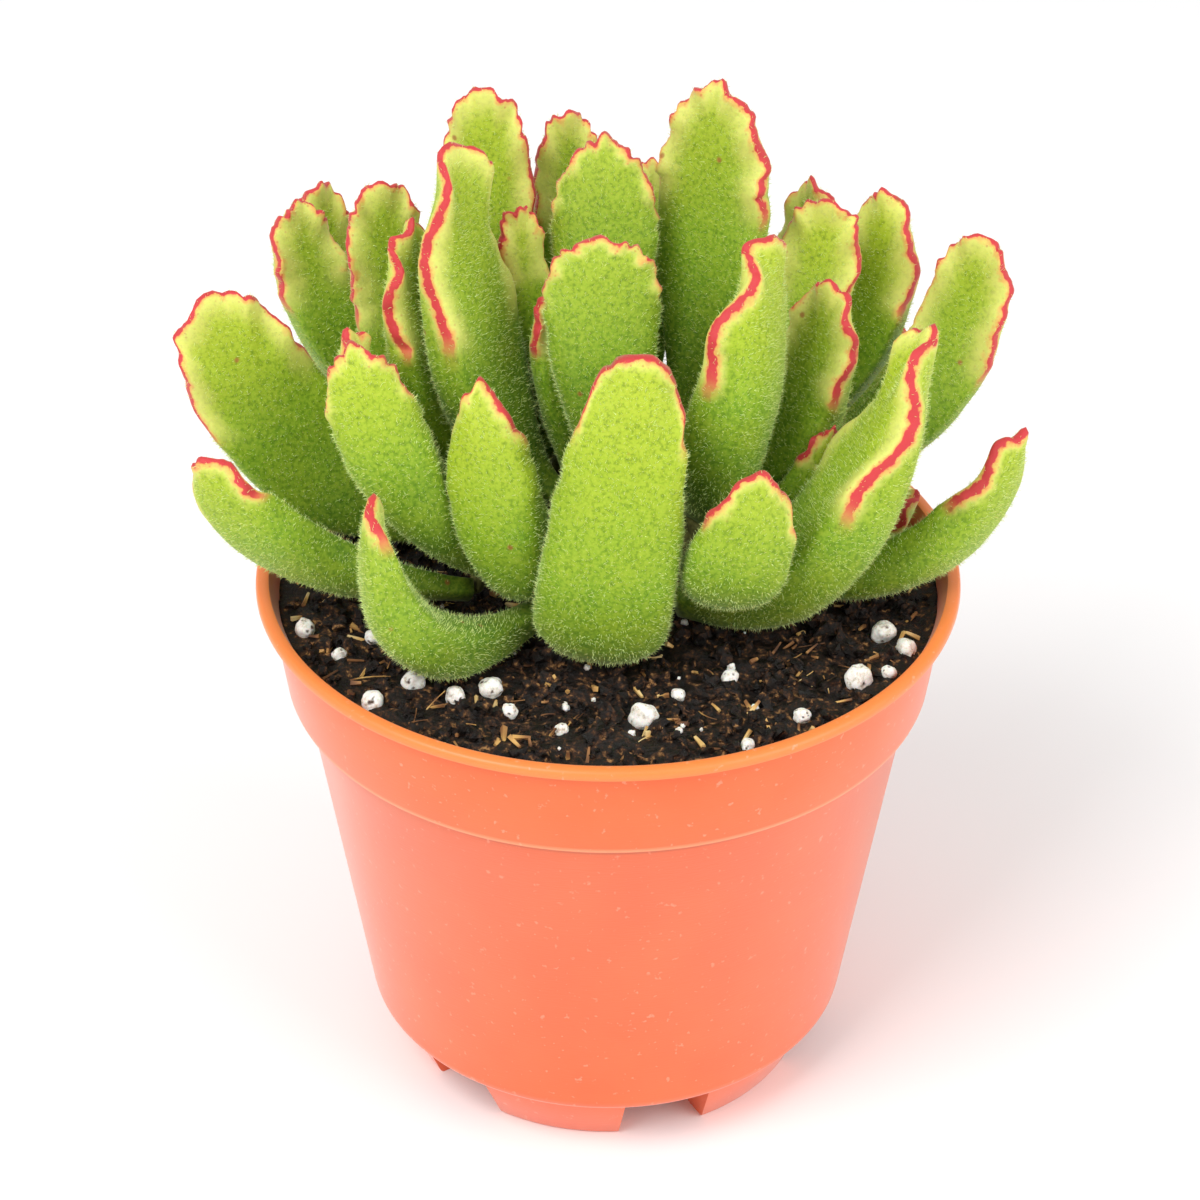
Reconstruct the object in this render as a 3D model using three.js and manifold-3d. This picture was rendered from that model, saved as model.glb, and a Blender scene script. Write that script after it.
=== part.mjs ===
// A potted Cotyledon: a clump of thick, velvety leaves with waved red edges, on short branching stems,
// in potting mix with perlite, in a thin moulded plastic nursery pot.
// Millimetres, +Z up, origin on the pot's axis at the surface it stands on, the front towards -Y.
import * as THREE from "three";
import { mergeVertices } from "three/addons/utils/BufferGeometryUtils.js";
import Module from "manifold-3d";

const wasm = await Module();
wasm.setup();

// Sizes of the real pot and plant.
const GAP = 0.3; // between pieces that touch

const POT_HEIGHT = 85;
const RIM_RADIUS = 52.5;
const LIP_WIDTH = 2.1;
const LIP_HEIGHT = 1.6;
const COLLAR_RADIUS = 50.6;
const COLLAR_BOTTOM_RADIUS = 48.6;
const COLLAR_DEPTH = 17;
const WALL_TOP_RADIUS = 46.2;
const BASE_RADIUS = 37.6;
const BASE_ROUND = 2.2;
const POT_WALL = 1.2;
const FOOT_HEIGHT = 9.6;
const POT_SIDES = 48;

const FEET = 6;
const FOOT_TOP_RADIUS = 35.6;
const FOOT_BOTTOM_RADIUS = 31.4;
const FOOT_WIDTH = 4.5;
const FOOT_HALF_LENGTH = 11.5;
const FOOT_END_SLOPE = 2.3;
const FRONT_FOOT_TURN = -14;
const DRAIN_RADIUS = 3.6;
const DRAIN_CIRCLE = 22;

const SOIL_TOP = 81.2;
const SOIL_RELIEF = 0.9;

// Stems: a woody base that forks low, as [name, start, end, radius].
const STEMS = [
  ["trunk", [0, -1, 70], [0, -1, 85], 5.5],
  ["front", [0, -2, 85], [-6, -6, 87], 3.2],
  ["left", [0, -1, 84], [-16, 0, 88], 3.4],
  ["left_back", [-2, 0, 85], [-16, 12, 91], 3.3],
  ["back", [-2, 2, 85], [-9, 20, 94], 3.3],
  ["middle", [0, 0, 85], [-3, 6, 98], 3.6],
  ["back_right", [1, 2, 85], [4, 19, 94], 3.2],
  ["right_back", [2, 1, 85], [13, 12, 93], 3.4],
  ["right", [1, -1, 84], [14, -2, 91], 3.4],
];
const STEM_SIDES = 8;
const TWIG_RADIUS = 2.6;
const TWIG_END_RADIUS = 1.8;

// Leaves: name, then in millimetres where the leaf leaves the stem, the point its curve is drawn
// towards, and its tip; full width and thickness; the turn of the blade about its own length at the
// root and at the tip in degrees; where along the length it is widest; how blunt the tip is (2 is an
// ellipse); the number of waves round the edge, their height and where the first one starts; and the
// share of the way to its widest place that stays a narrow neck, where there is one.
const LEAVES = [
  ["leaf_front", [-0.5, -8.5, 88], [-3.5, -36, 78], [4.5, -18, 130.5],
    19.6, 9.5, 0, 0, 0.42, 3.2, 7, 1.2, 0.2, 0.45],
  ["leaf_front_left", [-17, -7, 89], [-30.3, -17, 104.5], [-36.2, -9.8, 127],
    12.8, 8.5, -35, -35, 0.7, 2.4, 7, 0.9, 0.7],
  ["leaf_front_left_inner", [-8.7, -7.8, 91.3], [-14.8, -24, 89.8], [-18.4, -11.5, 122.3],
    13.8, 8.5, 0, 0, 0.72, 1.9, 6, 0.8, 0.1],
  ["leaf_low_left", [-10, -13, 85.5], [-31, -36.5, 83.5], [-33.5, -22.5, 110],
    12, 9.5, 20, 36, 0.6, 3, 4, 0.8, 0.5],
  ["leaf_left_low", [-20.5, -7.5, 85.5], [-50, -17, 94], [-57.6, -14, 111.3],
    12, 7, -30, -32, 0.62, 2.7, 5, 0.9, 0.3],
  ["leaf_left_big", [-21, 3, 88.5], [-48, 3.5, 96.8], [-57.4, 1, 129],
    18.6, 8.5, 60, 60, 0.5, 3.4, 9, 1, 0.4],
  ["leaf_left_back", [-21, 15, 90.5], [-45, 23, 106], [-46.5, 27, 131],
    10.8, 8, 45, 45, 0.76, 2.6, 6, 1, 0.9],
  ["leaf_left_back_far", [-16.5, 18.5, 92.5], [-43.5, 34, 91], [-44, 37, 129.5],
    10, 8, 0, 30, 0.76, 2.5, 6, 1, 0.1],
  ["leaf_left_scalloped", [-17, 8.5, 95], [-32, 12.5, 98.8], [-33, 16, 140],
    12, 7.5, 60, 60, 0.78, 3, 8, 1, 0.3],
  ["leaf_left_edge_on", [-14, 4, 96], [-29.7, 3.7, 102.8], [-28.9, 5.2, 139.2],
    11, 7.5, 30, 30, 0.74, 2.6, 7, 1.1, 0.6],
  ["leaf_left_inner", [-17, -3, 92.5], [-36.2, -5.1, 102.9], [-37, -2.7, 125.5],
    11.6, 7.5, 30, 30, 0.7, 2.6, 6, 0.9, 0.8],
  ["leaf_tall_edge_on", [-8, 1, 97], [-22, 1, 108.5], [-21.6, 6, 150.5],
    16, 10, 38, 38, 0.55, 3.2, 5, 1.9, 0.2],
  ["leaf_tall_back", [-8, 13, 97], [-18, 21, 105], [-18.1, 26, 150],
    13.6, 8, 60, 60, 0.72, 3.2, 8, 1.1, 0.5],
  ["leaf_back_middle", [-4, 18, 99], [-6, 29, 109.5], [-6.3, 34, 142.8],
    10.5, 8, 0, 0, 0.76, 2.6, 7, 1, 0.7],
  ["leaf_middle_back", [-0.5, 11, 101.5], [-0.8, 12.5, 118], [-0.8, 20.5, 145],
    15.5, 8, 0, 0, 0.76, 2, 9, 0.9, 0.4],
  ["leaf_middle", [-0.8, 0.6, 101.3], [-0.5, -7, 113.5], [-1.2, 1, 138.5],
    16.5, 8, 0, 0, 0.82, 2.8, 9, 0.9, 0.9],
  ["leaf_tall_right", [11, 10, 98], [15.5, 18.5, 118], [15.7, 23, 152.5],
    18.5, 8, 0, 0, 0.78, 2, 9, 0.9, 0.3],
  ["leaf_right_upright", [12.7, -3.7, 97.4], [15.8, -12, 109], [22.7, -2, 140.5],
    17, 11.8, -64, -64, 0.6, 3.2, 6, 1.6, 0.6],
  ["leaf_front_right_short", [14.3, -9.4, 95.2], [16.9, -30.6, 92.3], [21.4, -23.9, 114.6],
    14.8, 8, 0, 0, 0.52, 2.6, 7, 0.7, 0.1],
  ["leaf_right_big", [10.5, -9, 85], [32, -19.8, 87.2], [44.6, -8.7, 129.7],
    15, 13, -40, -40, 0.6, 2.4, 6, 1.6, 0.8],
  ["leaf_right_low", [18, -1.5, 86.5], [50, -12, 84.5], [59.7, -3, 109.6],
    11, 8, 10, 20, 0.7, 2.4, 5, 0.8, 0.3],
  ["leaf_right_back", [17, 7, 92], [51, 12.6, 94], [54.5, 16, 131.5],
    13.5, 6.6, -45, -45, 0.76, 2.8, 7, 0.8, 0.5],
  ["leaf_right_back_far", [16.5, 15, 94], [42, 23, 100.5], [41.1, 27, 133.5],
    12.5, 8, -40, -40, 0.74, 2.2, 6, 1.2, 0.2],
  ["leaf_right_crested", [16, 11.5, 97], [28.5, 14, 105.5], [32.3, 20, 135],
    12.3, 8, -60, -60, 0.76, 3.6, 7, 1.1, 0.9],
  ["leaf_right_crested_far", [12, 18, 95], [29, 30, 101], [31, 36, 130.5],
    9.6, 8, 0, -20, 0.76, 2.4, 6, 1, 0.4],
  ["leaf_right_inner", [15, 2, 95.5], [28.5, 2, 99.5], [32.3, 5, 129.5],
    14.2, 8, -40, -40, 0.7, 2.6, 7, 0.9, 0.6],
  ["leaf_right_small", [22, 3.5, 88.5], [40, 3, 85], [45.5, 4, 95.2],
    7, 6, 0, 0, 0.7, 2.4, 5, 0.8, 0.4],
  ["leaf_middle_left_thin", [-6.5, 8, 101.5], [-12.6, 12.5, 117], [-13.3, 14.5, 137],
    7.5, 6, 40, 40, 0.72, 2.6, 6, 0.9, 0.2],
  ["leaf_middle_low", [-5, 1.2, 101.5], [-7.6, 5.2, 111.2], [-8, 5.8, 128],
    8, 6, 0, 0, 0.72, 2.6, 5, 0.8, 0.7],
  ["leaf_back_right_thin", [5, 17, 99], [5, 27, 115.5], [6, 34, 134.5],
    10, 7, 0, 0, 0.75, 2.4, 6, 0.9, 0.5],
  ["leaf_right_narrow", [19.2, -4, 92.5], [27.5, -5.05, 98.4], [32.2, -4.7, 111.2],
    5, 2.4, 90, 90, 0.7, 2.2, 5, 0.6, 0.3],
  ["leaf_back_low_left", [-13, 23, 92], [-26, 41, 91], [-30, 42, 115],
    12, 8.5, 0, 0, 0.76, 2.5, 7, 1, 0.5],
  ["leaf_back_low", [-4, 24, 93], [-8, 43, 94], [-9, 44, 119],
    13, 8.5, 0, 0, 0.76, 2.6, 7, 1, 0.2],
  ["leaf_back_low_right", [8, 22, 92.5], [18, 42, 94], [19, 43, 117],
    13, 8.5, 0, 0, 0.76, 2.5, 7, 1, 0.8],
  ["leaf_back_side_right", [17, 16, 89], [42, 32, 88], [46, 35, 105],
    12, 8.5, 0, 0, 0.76, 2.4, 6, 1, 0.3],
  ["leaf_back_side_left", [-20, 18, 87], [-43, 32.5, 87], [-46.5, 36, 101.5],
    11, 8.5, 0, 0, 0.76, 2.4, 6, 1, 0.6],
];

// Perlite: the larger grains on the soil, as [x, y] and the size across.
const PERLITE = [
  [-44.5, -12.5, 3.7],
  [-39, -19, 2.6],
  [-34.5, -14.5, 2.7],
  [-33.5, -31, 4.1],
  [-28, -26, 4],
  [-21.8, -29.5, 3.7],
  [-16.8, -27.5, 4.1],
  [-14, -33, 2.8],
  [-6.5, -37.5, 2.6],
  [5, -34.5, 4.7],
  [10, -29, 2.6],
  [17.5, -24.8, 3.1],
  [27.5, -34, 2.9],
  [19.5, -41, 2.5],
  [40.5, -13, 4.2],
  [43.4, -17.2, 3.8],
  [36, -25, 4.9],
  [40.5, -23, 2.6],
];
const PERLITE_SUNK = 0.35; // share of a grain's height that is below the soil

// Colours and finish, from the photograph
const POT_FINISH = { color: "#f0764a", roughness: 0.42, metalness: 0 };
const SOIL_FINISH = { color: "#3a2a20", roughness: 0.95, metalness: 0 };
const STEM_FINISH = { color: "#7c7346", roughness: 0.85, metalness: 0 };
const LEAF_FINISH = { color: "#8fae2c", roughness: 0.7, metalness: 0 };
const PERLITE_FINISH = { color: "#e9e4d8", roughness: 0.9, metalness: 0 };

const group = new THREE.Group();

// A geometry as a solid for joining and cutting.
function solidOf(geometry) {
  const bare = geometry.clone();
  bare.deleteAttribute("normal");
  bare.deleteAttribute("uv");
  const merged = mergeVertices(bare, 1e-4);
  return new wasm.Manifold(
    new wasm.Mesh({
      numProp: 3,
      vertProperties: new Float32Array(merged.attributes.position.array),
      triVerts: new Uint32Array(merged.index.array),
    }),
  );
}

// A solid back as a geometry.
function geometryOf(solid) {
  const mesh = solid.getMesh();
  const geometry = new THREE.BufferGeometry();
  geometry.setAttribute("position", new THREE.BufferAttribute(mesh.vertProperties, 3));
  geometry.setIndex(new THREE.BufferAttribute(mesh.triVerts, 1));
  return geometry;
}

function addPiece(name, geometry, finish) {
  const mesh = new THREE.Mesh(geometry, new THREE.MeshStandardMaterial(finish));
  mesh.name = name;
  group.add(mesh);
  return mesh;
}

// A body of revolution about +Z from [radius, z] pairs.
function turned(profile, sides) {
  const points = profile.map(([radius, z]) => new THREE.Vector2(radius, z));
  const geometry = new THREE.LatheGeometry(points, sides);
  geometry.rotateX(Math.PI / 2);
  return geometry;
}

const vector = ([x, y, z]) => new THREE.Vector3(x, y, z);
const radians = (degrees) => (degrees * Math.PI) / 180;
const smooth = (t) => {
  const s = Math.min(1, Math.max(0, t));
  return s * s * (3 - 2 * s);
};

// The leaf: one closed body drawn from its row.
const APEX_POINTS = 16; // round the tip
const SIDE_POINTS = 6; // along each side below it, closer together towards the tip
const SIDE_CROWDING = 1.6;
const SHOULDER = 0.62; // the ring of points between the middle and the edge
const AXIS_SHARE = 0.55; // how far into the tip the middle line runs
const AXIS_STEPS = 2;
const ROOT_HALF_WIDTH = 2;
const ROOT_DOME = 0.5; // how far the leaf's root swells towards the stem
const EDGE_HALF_THICKNESS = 0.42;
const EDGE_RAISED = 0.35; // how far the edge stands up along the inner face, in half thicknesses
const OUTER_BULGE = 0.9; // how far the outer face stands out past the edge
const WAVE_FROM = 0.58; // where along the leaf the waves start, and over how much they grow
const WAVE_GROWTH = 0.16;

function leafGeometry(row) {
  const [, rootAt, elbowAt, tipAt, ...shape] = row;
  const [width, thickness, rollRoot, rollTip, widest, blunt, waves, wave, start, neck = 0] = shape;
  const root = vector(rootAt);
  const elbow = vector(elbowAt);
  const tip = vector(tipAt);
  const rising = tip.clone().sub(elbow);
  const across = new THREE.Vector3().crossVectors(elbow.clone().sub(root), rising).normalize();

  // The frame at t: the point on the midline, the width direction and the inward face direction.
  const frameAt = (t) => {
    const a = (1 - t) * (1 - t);
    const b = 2 * t * (1 - t);
    const point = root.clone().multiplyScalar(a).addScaledVector(elbow, b).addScaledVector(tip, t * t);
    const along = elbow.clone().sub(root).multiplyScalar(1 - t).addScaledVector(tip.clone().sub(elbow), t);
    along.normalize();
    const inward = new THREE.Vector3().crossVectors(across, along);
    const roll = radians(rollRoot + (rollTip - rollRoot) * smooth(t));
    const side = across.clone().multiplyScalar(Math.cos(roll)).addScaledVector(inward, Math.sin(roll));
    const face = inward.clone().multiplyScalar(Math.cos(roll)).addScaledVector(across, -Math.sin(roll));
    return { point, side, face };
  };
  const fullness = (t) => {
    const body = 0.45 + 0.55 * smooth(t / 0.4);
    const thinning = 1 - 0.6 * smooth((t - 0.58) / 0.42);
    return 0.5 * thickness * body * thinning;
  };
  // How far the section has changed from the round root to the flat inner face of the blade.
  const flattened = (t) => smooth((t - 0.2) / 0.4);
  const innerShare = (t) => 0.85 - 0.1 * flattened(t);
  const outerShare = (t) => 1.15 - 0.1 * flattened(t);
  const axisAt = (t, high) => (high > 0 ? widest + (t - widest) * AXIS_SHARE : t);

  // The edge, as [t, half width, height round the tip] from the root up one side, round the tip and
  // down the other.
  const edge = [];
  const sideSteps = [];
  for (let i = 0; i < SIDE_POINTS; i += 1) {
    const share = 1 - (1 - i / SIDE_POINTS) ** SIDE_CROWDING;
    const grown = Math.max(0, (share - neck) / (1 - neck));
    const widened = smooth(0.75 * grown + 0.25 * Math.sqrt(grown));
    const half = ROOT_HALF_WIDTH + (0.5 * width - ROOT_HALF_WIDTH) * widened;
    sideSteps.push(widest * share);
    edge.push([widest * share, half, 0]);
  }
  const upSide = edge.slice();
  for (let i = 0; i <= APEX_POINTS; i += 1) {
    const angle = (Math.PI * i) / APEX_POINTS;
    const rise = Math.sin(angle) ** (2 / blunt);
    const spread = Math.sign(Math.cos(angle)) * Math.abs(Math.cos(angle)) ** (2 / blunt);
    edge.push([widest + (1 - widest) * rise, 0.5 * width * spread, Math.sin(angle)]);
  }
  for (const [t, half] of upSide.reverse()) edge.push([t, -half, 0]);

  // A point of the surface on the line from the middle to an edge point.
  const surfacePoint = (index, level, isInner) => {
    const [t, half, high] = edge[index];
    const flat = flattened(t);
    const bulge = isInner ? 0 : OUTER_BULGE * flat * Math.sqrt(1 - high * high);
    const spread = level + bulge * level * (1 - level);
    const at = axisAt(t, high) + (t - axisAt(t, high)) * spread;
    const { point, side, face } = frameAt(at);
    const full = fullness(at);
    const rim = EDGE_HALF_THICKNESS + 0.3 * full * (1 - smooth(t / 0.6));
    const share = isInner ? innerShare(t) : outerShare(t);
    const depth = rim + (share * full - rim) * Math.sqrt(1 - level * level);
    const swing = Math.sin(2 * Math.PI * ((waves * index) / (edge.length - 1) + start));
    const waved = wave * smooth((t - WAVE_FROM) / WAVE_GROWTH) * (level === 1 ? 1 : 0.2);
    const raised = EDGE_RAISED * flat * full * level * level;
    point.addScaledVector(side, half * spread);
    return point.addScaledVector(face, raised + swing * waved + (isInner ? depth : -depth));
  };
  const count = edge.length;
  const inner = [];
  const outer = [];
  for (let i = 0; i < count; i += 1) {
    inner.push([surfacePoint(i, 1, true), surfacePoint(i, SHOULDER, true)]);
    outer.push([surfacePoint(i, 1, false), surfacePoint(i, SHOULDER, false)]);
  }

  // The middle line of both faces.
  const middleSteps = sideSteps.slice();
  for (let i = 0; i <= AXIS_STEPS; i += 1) {
    middleSteps.push(axisAt(widest + ((1 - widest) * i) / AXIS_STEPS, 1));
  }
  const middle = middleSteps.map((t) => {
    const { point, face } = frameAt(t);
    return [
      t,
      point.clone().addScaledVector(face, fullness(t) * innerShare(t)),
      point.clone().addScaledVector(face, -fullness(t) * outerShare(t)),
    ];
  });

  const positions = [];
  const faces = [];
  const put = (point) => positions.push(point.x, point.y, point.z) / 3 - 1;
  const ids = { inner: [], outer: [] };
  for (let i = 0; i < count; i += 1) {
    ids.inner.push([put(inner[i][0]), put(inner[i][1])]);
    ids.outer.push([put(outer[i][0]), put(outer[i][1])]);
  }
  const middleIds = middle.map(([, up, down]) => [put(up), put(down)]);

  // The middle point that a shoulder point hangs on.
  const axisOf = (index) => {
    const [t, , high] = edge[index];
    const at = axisAt(t, high);
    let best = 0;
    middle.forEach(([m], k) => {
      if (Math.abs(m - at) < Math.abs(middle[best][0] - at)) best = k;
    });
    return best;
  };
  const triangle = (a, b, c, flip) => {
    if (a === b || b === c || a === c) return;
    faces.push(...(flip ? [a, c, b] : [a, b, c]));
  };
  for (const [side, flip] of [["inner", false], ["outer", true]]) {
    const column = side === "inner" ? 0 : 1;
    for (let i = 0; i + 1 < count; i += 1) {
      const [e0, s0] = ids[side][i];
      const [e1, s1] = ids[side][i + 1];
      const mirrored = i >= count / 2;
      if (mirrored) {
        triangle(e0, e1, s0, flip);
        triangle(e1, s1, s0, flip);
      } else {
        triangle(e0, e1, s1, flip);
        triangle(e0, s1, s0, flip);
      }
      const m0 = middleIds[axisOf(i)][column];
      const m1 = middleIds[axisOf(i + 1)][column];
      if (mirrored) {
        triangle(s0, s1, m0, flip);
        triangle(s1, m1, m0, flip);
      } else {
        triangle(s0, s1, m1, flip);
        triangle(s0, m1, m0, flip);
      }
    }
  }
  // The thin strip round the edge, and the cap where the leaf leaves the stem.
  for (let i = 0; i + 1 < count; i += 1) {
    triangle(ids.inner[i][0], ids.outer[i][0], ids.outer[i + 1][0], false);
    triangle(ids.inner[i][0], ids.outer[i + 1][0], ids.inner[i + 1][0], false);
  }
  const last = count - 1;
  const cap = [
    ids.inner[0][0],
    ids.inner[0][1],
    middleIds[0][0],
    ids.inner[last][1],
    ids.inner[last][0],
    ids.outer[last][0],
    ids.outer[last][1],
    middleIds[0][1],
    ids.outer[0][1],
    ids.outer[0][0],
  ];
  const { point } = frameAt(0);
  const hub = put(point.addScaledVector(elbow.clone().sub(root).normalize(), -ROOT_DOME));
  for (let i = 0; i < cap.length; i += 1) triangle(hub, cap[i], cap[(i + 1) % cap.length], false);

  const geometry = new THREE.BufferGeometry();
  geometry.setAttribute("position", new THREE.BufferAttribute(new Float32Array(positions), 3));
  geometry.setIndex(faces);
  return geometry;
}

// The pot: one thin moulding with a lip, a collar that steps in, a tapered wall, feet and drain holes.
const FLOOR_TOP = FOOT_HEIGHT + POT_WALL;
const COLLAR_BOTTOM = POT_HEIGHT - COLLAR_DEPTH;
const INNER_TOP_RADIUS = RIM_RADIUS - LIP_WIDTH;
const INNER_COLLAR_RADIUS = COLLAR_BOTTOM_RADIUS - POT_WALL;
const INNER_STEP_Z = COLLAR_BOTTOM + POT_WALL;
const INNER_WALL_RADIUS = WALL_TOP_RADIUS - POT_WALL;
const INNER_BASE_RADIUS = BASE_RADIUS - POT_WALL;

function potSolid() {
  const lipBottom = POT_HEIGHT - LIP_HEIGHT;
  const shell = solidOf(
    turned(
      [
        [0, FOOT_HEIGHT],
        [BASE_RADIUS - BASE_ROUND, FOOT_HEIGHT],
        [BASE_RADIUS - 0.35 * BASE_ROUND, FOOT_HEIGHT + 0.3 * BASE_ROUND],
        [BASE_RADIUS, FOOT_HEIGHT + BASE_ROUND],
        [WALL_TOP_RADIUS, COLLAR_BOTTOM],
        [COLLAR_BOTTOM_RADIUS, COLLAR_BOTTOM],
        [COLLAR_RADIUS, lipBottom],
        [RIM_RADIUS - 0.3, lipBottom],
        [RIM_RADIUS, lipBottom + 0.35 * LIP_HEIGHT],
        [RIM_RADIUS - 0.15, POT_HEIGHT - 0.25 * LIP_HEIGHT],
        [RIM_RADIUS - 0.25 * LIP_WIDTH, POT_HEIGHT],
        [INNER_TOP_RADIUS + 0.2 * LIP_WIDTH, POT_HEIGHT],
        [INNER_TOP_RADIUS, POT_HEIGHT - 0.25 * LIP_HEIGHT],
        [COLLAR_RADIUS - POT_WALL, lipBottom - 1],
        [INNER_COLLAR_RADIUS, INNER_STEP_Z],
        [INNER_WALL_RADIUS, INNER_STEP_Z],
        [INNER_BASE_RADIUS, FLOOR_TOP + BASE_ROUND],
        [INNER_BASE_RADIUS - BASE_ROUND, FLOOR_TOP],
        [0, FLOOR_TOP],
      ],
      POT_SIDES,
    ),
  );

  // A foot is a short arc of a sloped ring, with its ends sloped too.
  const ring = solidOf(
    turned(
      [
        [FOOT_BOTTOM_RADIUS - FOOT_WIDTH, 0],
        [FOOT_BOTTOM_RADIUS, 0],
        [FOOT_TOP_RADIUS, FOOT_HEIGHT + 0.5 * POT_WALL],
        [FOOT_TOP_RADIUS - FOOT_WIDTH, FOOT_HEIGHT + 0.5 * POT_WALL],
        [FOOT_BOTTOM_RADIUS - FOOT_WIDTH, 0],
      ],
      POT_SIDES,
    ),
  );
  const outline = new THREE.Shape();
  outline.moveTo(-FOOT_HALF_LENGTH + FOOT_END_SLOPE, -1);
  outline.lineTo(FOOT_HALF_LENGTH - FOOT_END_SLOPE, -1);
  outline.lineTo(FOOT_HALF_LENGTH, FOOT_HEIGHT + POT_WALL);
  outline.lineTo(-FOOT_HALF_LENGTH, FOOT_HEIGHT + POT_WALL);
  outline.closePath();
  let pot = shell;
  for (let i = 0; i < FEET; i += 1) {
    const turn = radians(FRONT_FOOT_TURN + (360 * i) / FEET);
    const wedge = new THREE.ExtrudeGeometry(outline, { depth: RIM_RADIUS, bevelEnabled: false });
    wedge.rotateX(Math.PI / 2);
    wedge.rotateZ(turn);
    pot = pot.add(ring.intersect(solidOf(wedge)));
  }
  const hole = (x, y) => {
    const drill = new THREE.CylinderGeometry(DRAIN_RADIUS, DRAIN_RADIUS, 4 * POT_WALL, 14);
    drill.rotateX(Math.PI / 2);
    drill.translate(x, y, FOOT_HEIGHT + 0.5 * POT_WALL);
    pot = pot.subtract(solidOf(drill));
  };
  hole(0, 0);
  for (let i = 0; i < FEET; i += 1) {
    const turn = radians(FRONT_FOOT_TURN + (360 * (i + 0.5)) / FEET);
    hole(DRAIN_CIRCLE * Math.sin(turn), -DRAIN_CIRCLE * Math.cos(turn));
  }
  return pot;
}

// Seeded unevenness for soil and grains.
function noiseMaker(seed) {
  let state = seed;
  return () => {
    state = (state * 16807) % 2147483647;
    return state / 2147483647;
  };
}

// The potting mix fills the pot, its top uneven.
const SOIL_SIDES = 36;
const SOIL_RINGS = 7;

function soilSolid() {
  const random = noiseMaker(77);
  const clear = GAP;
  const top = INNER_TOP_RADIUS - 0.9 - clear;
  const profile = [
    [0, FLOOR_TOP + clear],
    [INNER_BASE_RADIUS - BASE_ROUND - clear, FLOOR_TOP + clear],
    [INNER_BASE_RADIUS - clear, FLOOR_TOP + BASE_ROUND + clear],
    [INNER_WALL_RADIUS - 1.4 * clear, INNER_STEP_Z + clear],
    [INNER_COLLAR_RADIUS - clear, INNER_STEP_Z + clear],
    [top - 0.9, SOIL_TOP - 1.2],
  ];
  for (let i = SOIL_RINGS; i >= 0; i -= 1) profile.push([((top - 1) * i) / SOIL_RINGS, SOIL_TOP]);
  const geometry = turned(profile, SOIL_SIDES);
  const bare = geometry.clone();
  bare.deleteAttribute("normal");
  bare.deleteAttribute("uv");
  const merged = mergeVertices(bare, 1e-4);
  const at = merged.attributes.position;
  for (let i = 0; i < at.count; i += 1) {
    if (at.getZ(i) > SOIL_TOP - 0.01) at.setZ(i, SOIL_TOP + SOIL_RELIEF * (2 * random() - 1));
  }
  return solidOf(merged);
}

// Perlite: rounded, slightly crumpled grains.
function grainGeometry([x, y, size], index, clearance) {
  const random = noiseMaker(1301 + 97 * index);
  const ball = new THREE.IcosahedronGeometry(0.5 * size, size > 3 ? 1 : 0);
  ball.deleteAttribute("normal");
  ball.deleteAttribute("uv");
  const merged = mergeVertices(ball, 1e-4);
  const at = merged.attributes.position;
  for (let i = 0; i < at.count; i += 1) {
    const share = 0.88 + 0.24 * random() + (2 * clearance) / size;
    at.setXYZ(i, at.getX(i) * share, at.getY(i) * share, at.getZ(i) * share * 0.82);
  }
  merged.rotateZ(6 * random());
  merged.translate(x, y, SOIL_TOP + size * 0.82 * (0.5 - PERLITE_SUNK));
  return merged;
}

// Stems: rods with round ends, and a twig from them to each leaf.
function rod(from, to, radius) {
  const start = vector(from);
  const end = vector(to);
  const way = end.clone().sub(start);
  const body = new THREE.CapsuleGeometry(radius, way.length(), 2, STEM_SIDES);
  const up = new THREE.Vector3(0, 1, 0);
  const turn = new THREE.Quaternion().setFromUnitVectors(up, way.clone().normalize());
  body.applyQuaternion(turn);
  body.translate(...start.add(end).multiplyScalar(0.5).toArray());
  return solidOf(body);
}

function nearestOnStems(point) {
  let best = null;
  for (const [, from, to] of STEMS) {
    const line = new THREE.Line3(vector(from), vector(to));
    const near = line.closestPointToPoint(point, true, new THREE.Vector3());
    if (!best || near.distanceTo(point) < best.distanceTo(point)) best = near;
  }
  return best;
}

function stemsSolid() {
  let stems = null;
  for (const [, from, to, radius] of STEMS) {
    const piece = rod(from, to, radius);
    stems = stems ? stems.add(piece) : piece;
  }
  for (const row of LEAVES) {
    const [, root, elbow] = row.slice(0, 3);
    const at = vector(root);
    const near = nearestOnStems(at);
    const way = at.clone().sub(near);
    const twig = new THREE.CylinderGeometry(TWIG_END_RADIUS, TWIG_RADIUS, way.length(), 6);
    twig.translate(0, 0.5 * way.length(), 0);
    twig.applyQuaternion(
      new THREE.Quaternion().setFromUnitVectors(new THREE.Vector3(0, 1, 0), way.normalize()),
    );
    twig.translate(near.x, near.y, near.z);
    // The twig ends in a flat scar square to the leaf.
    const along = vector(elbow).sub(at).normalize();
    const beyond = new THREE.BoxGeometry(40, 40, 40);
    beyond.translate(0, 20 - ROOT_DOME - GAP, 0);
    beyond.applyQuaternion(new THREE.Quaternion().setFromUnitVectors(new THREE.Vector3(0, 1, 0), along));
    beyond.translate(at.x, at.y, at.z);
    stems = stems.add(solidOf(twig).subtract(solidOf(beyond)));
  }
  return stems;
}

// All pieces together.
const grains = PERLITE.map((row, index) => grainGeometry(row, index, 0));
const stems = stemsSolid();
let soil = soilSolid();
for (const [index, row] of PERLITE.entries()) soil = soil.subtract(solidOf(grainGeometry(row, index, GAP)));
const socket = new THREE.CylinderGeometry(STEMS[0][3] + GAP, STEMS[0][3] + GAP, 40, STEM_SIDES * 2);
socket.rotateX(Math.PI / 2);
socket.translate(STEMS[0][1][0], STEMS[0][1][1], STEMS[0][1][2] - STEMS[0][3] - GAP + 20);
soil = soil.subtract(solidOf(socket));

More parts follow.
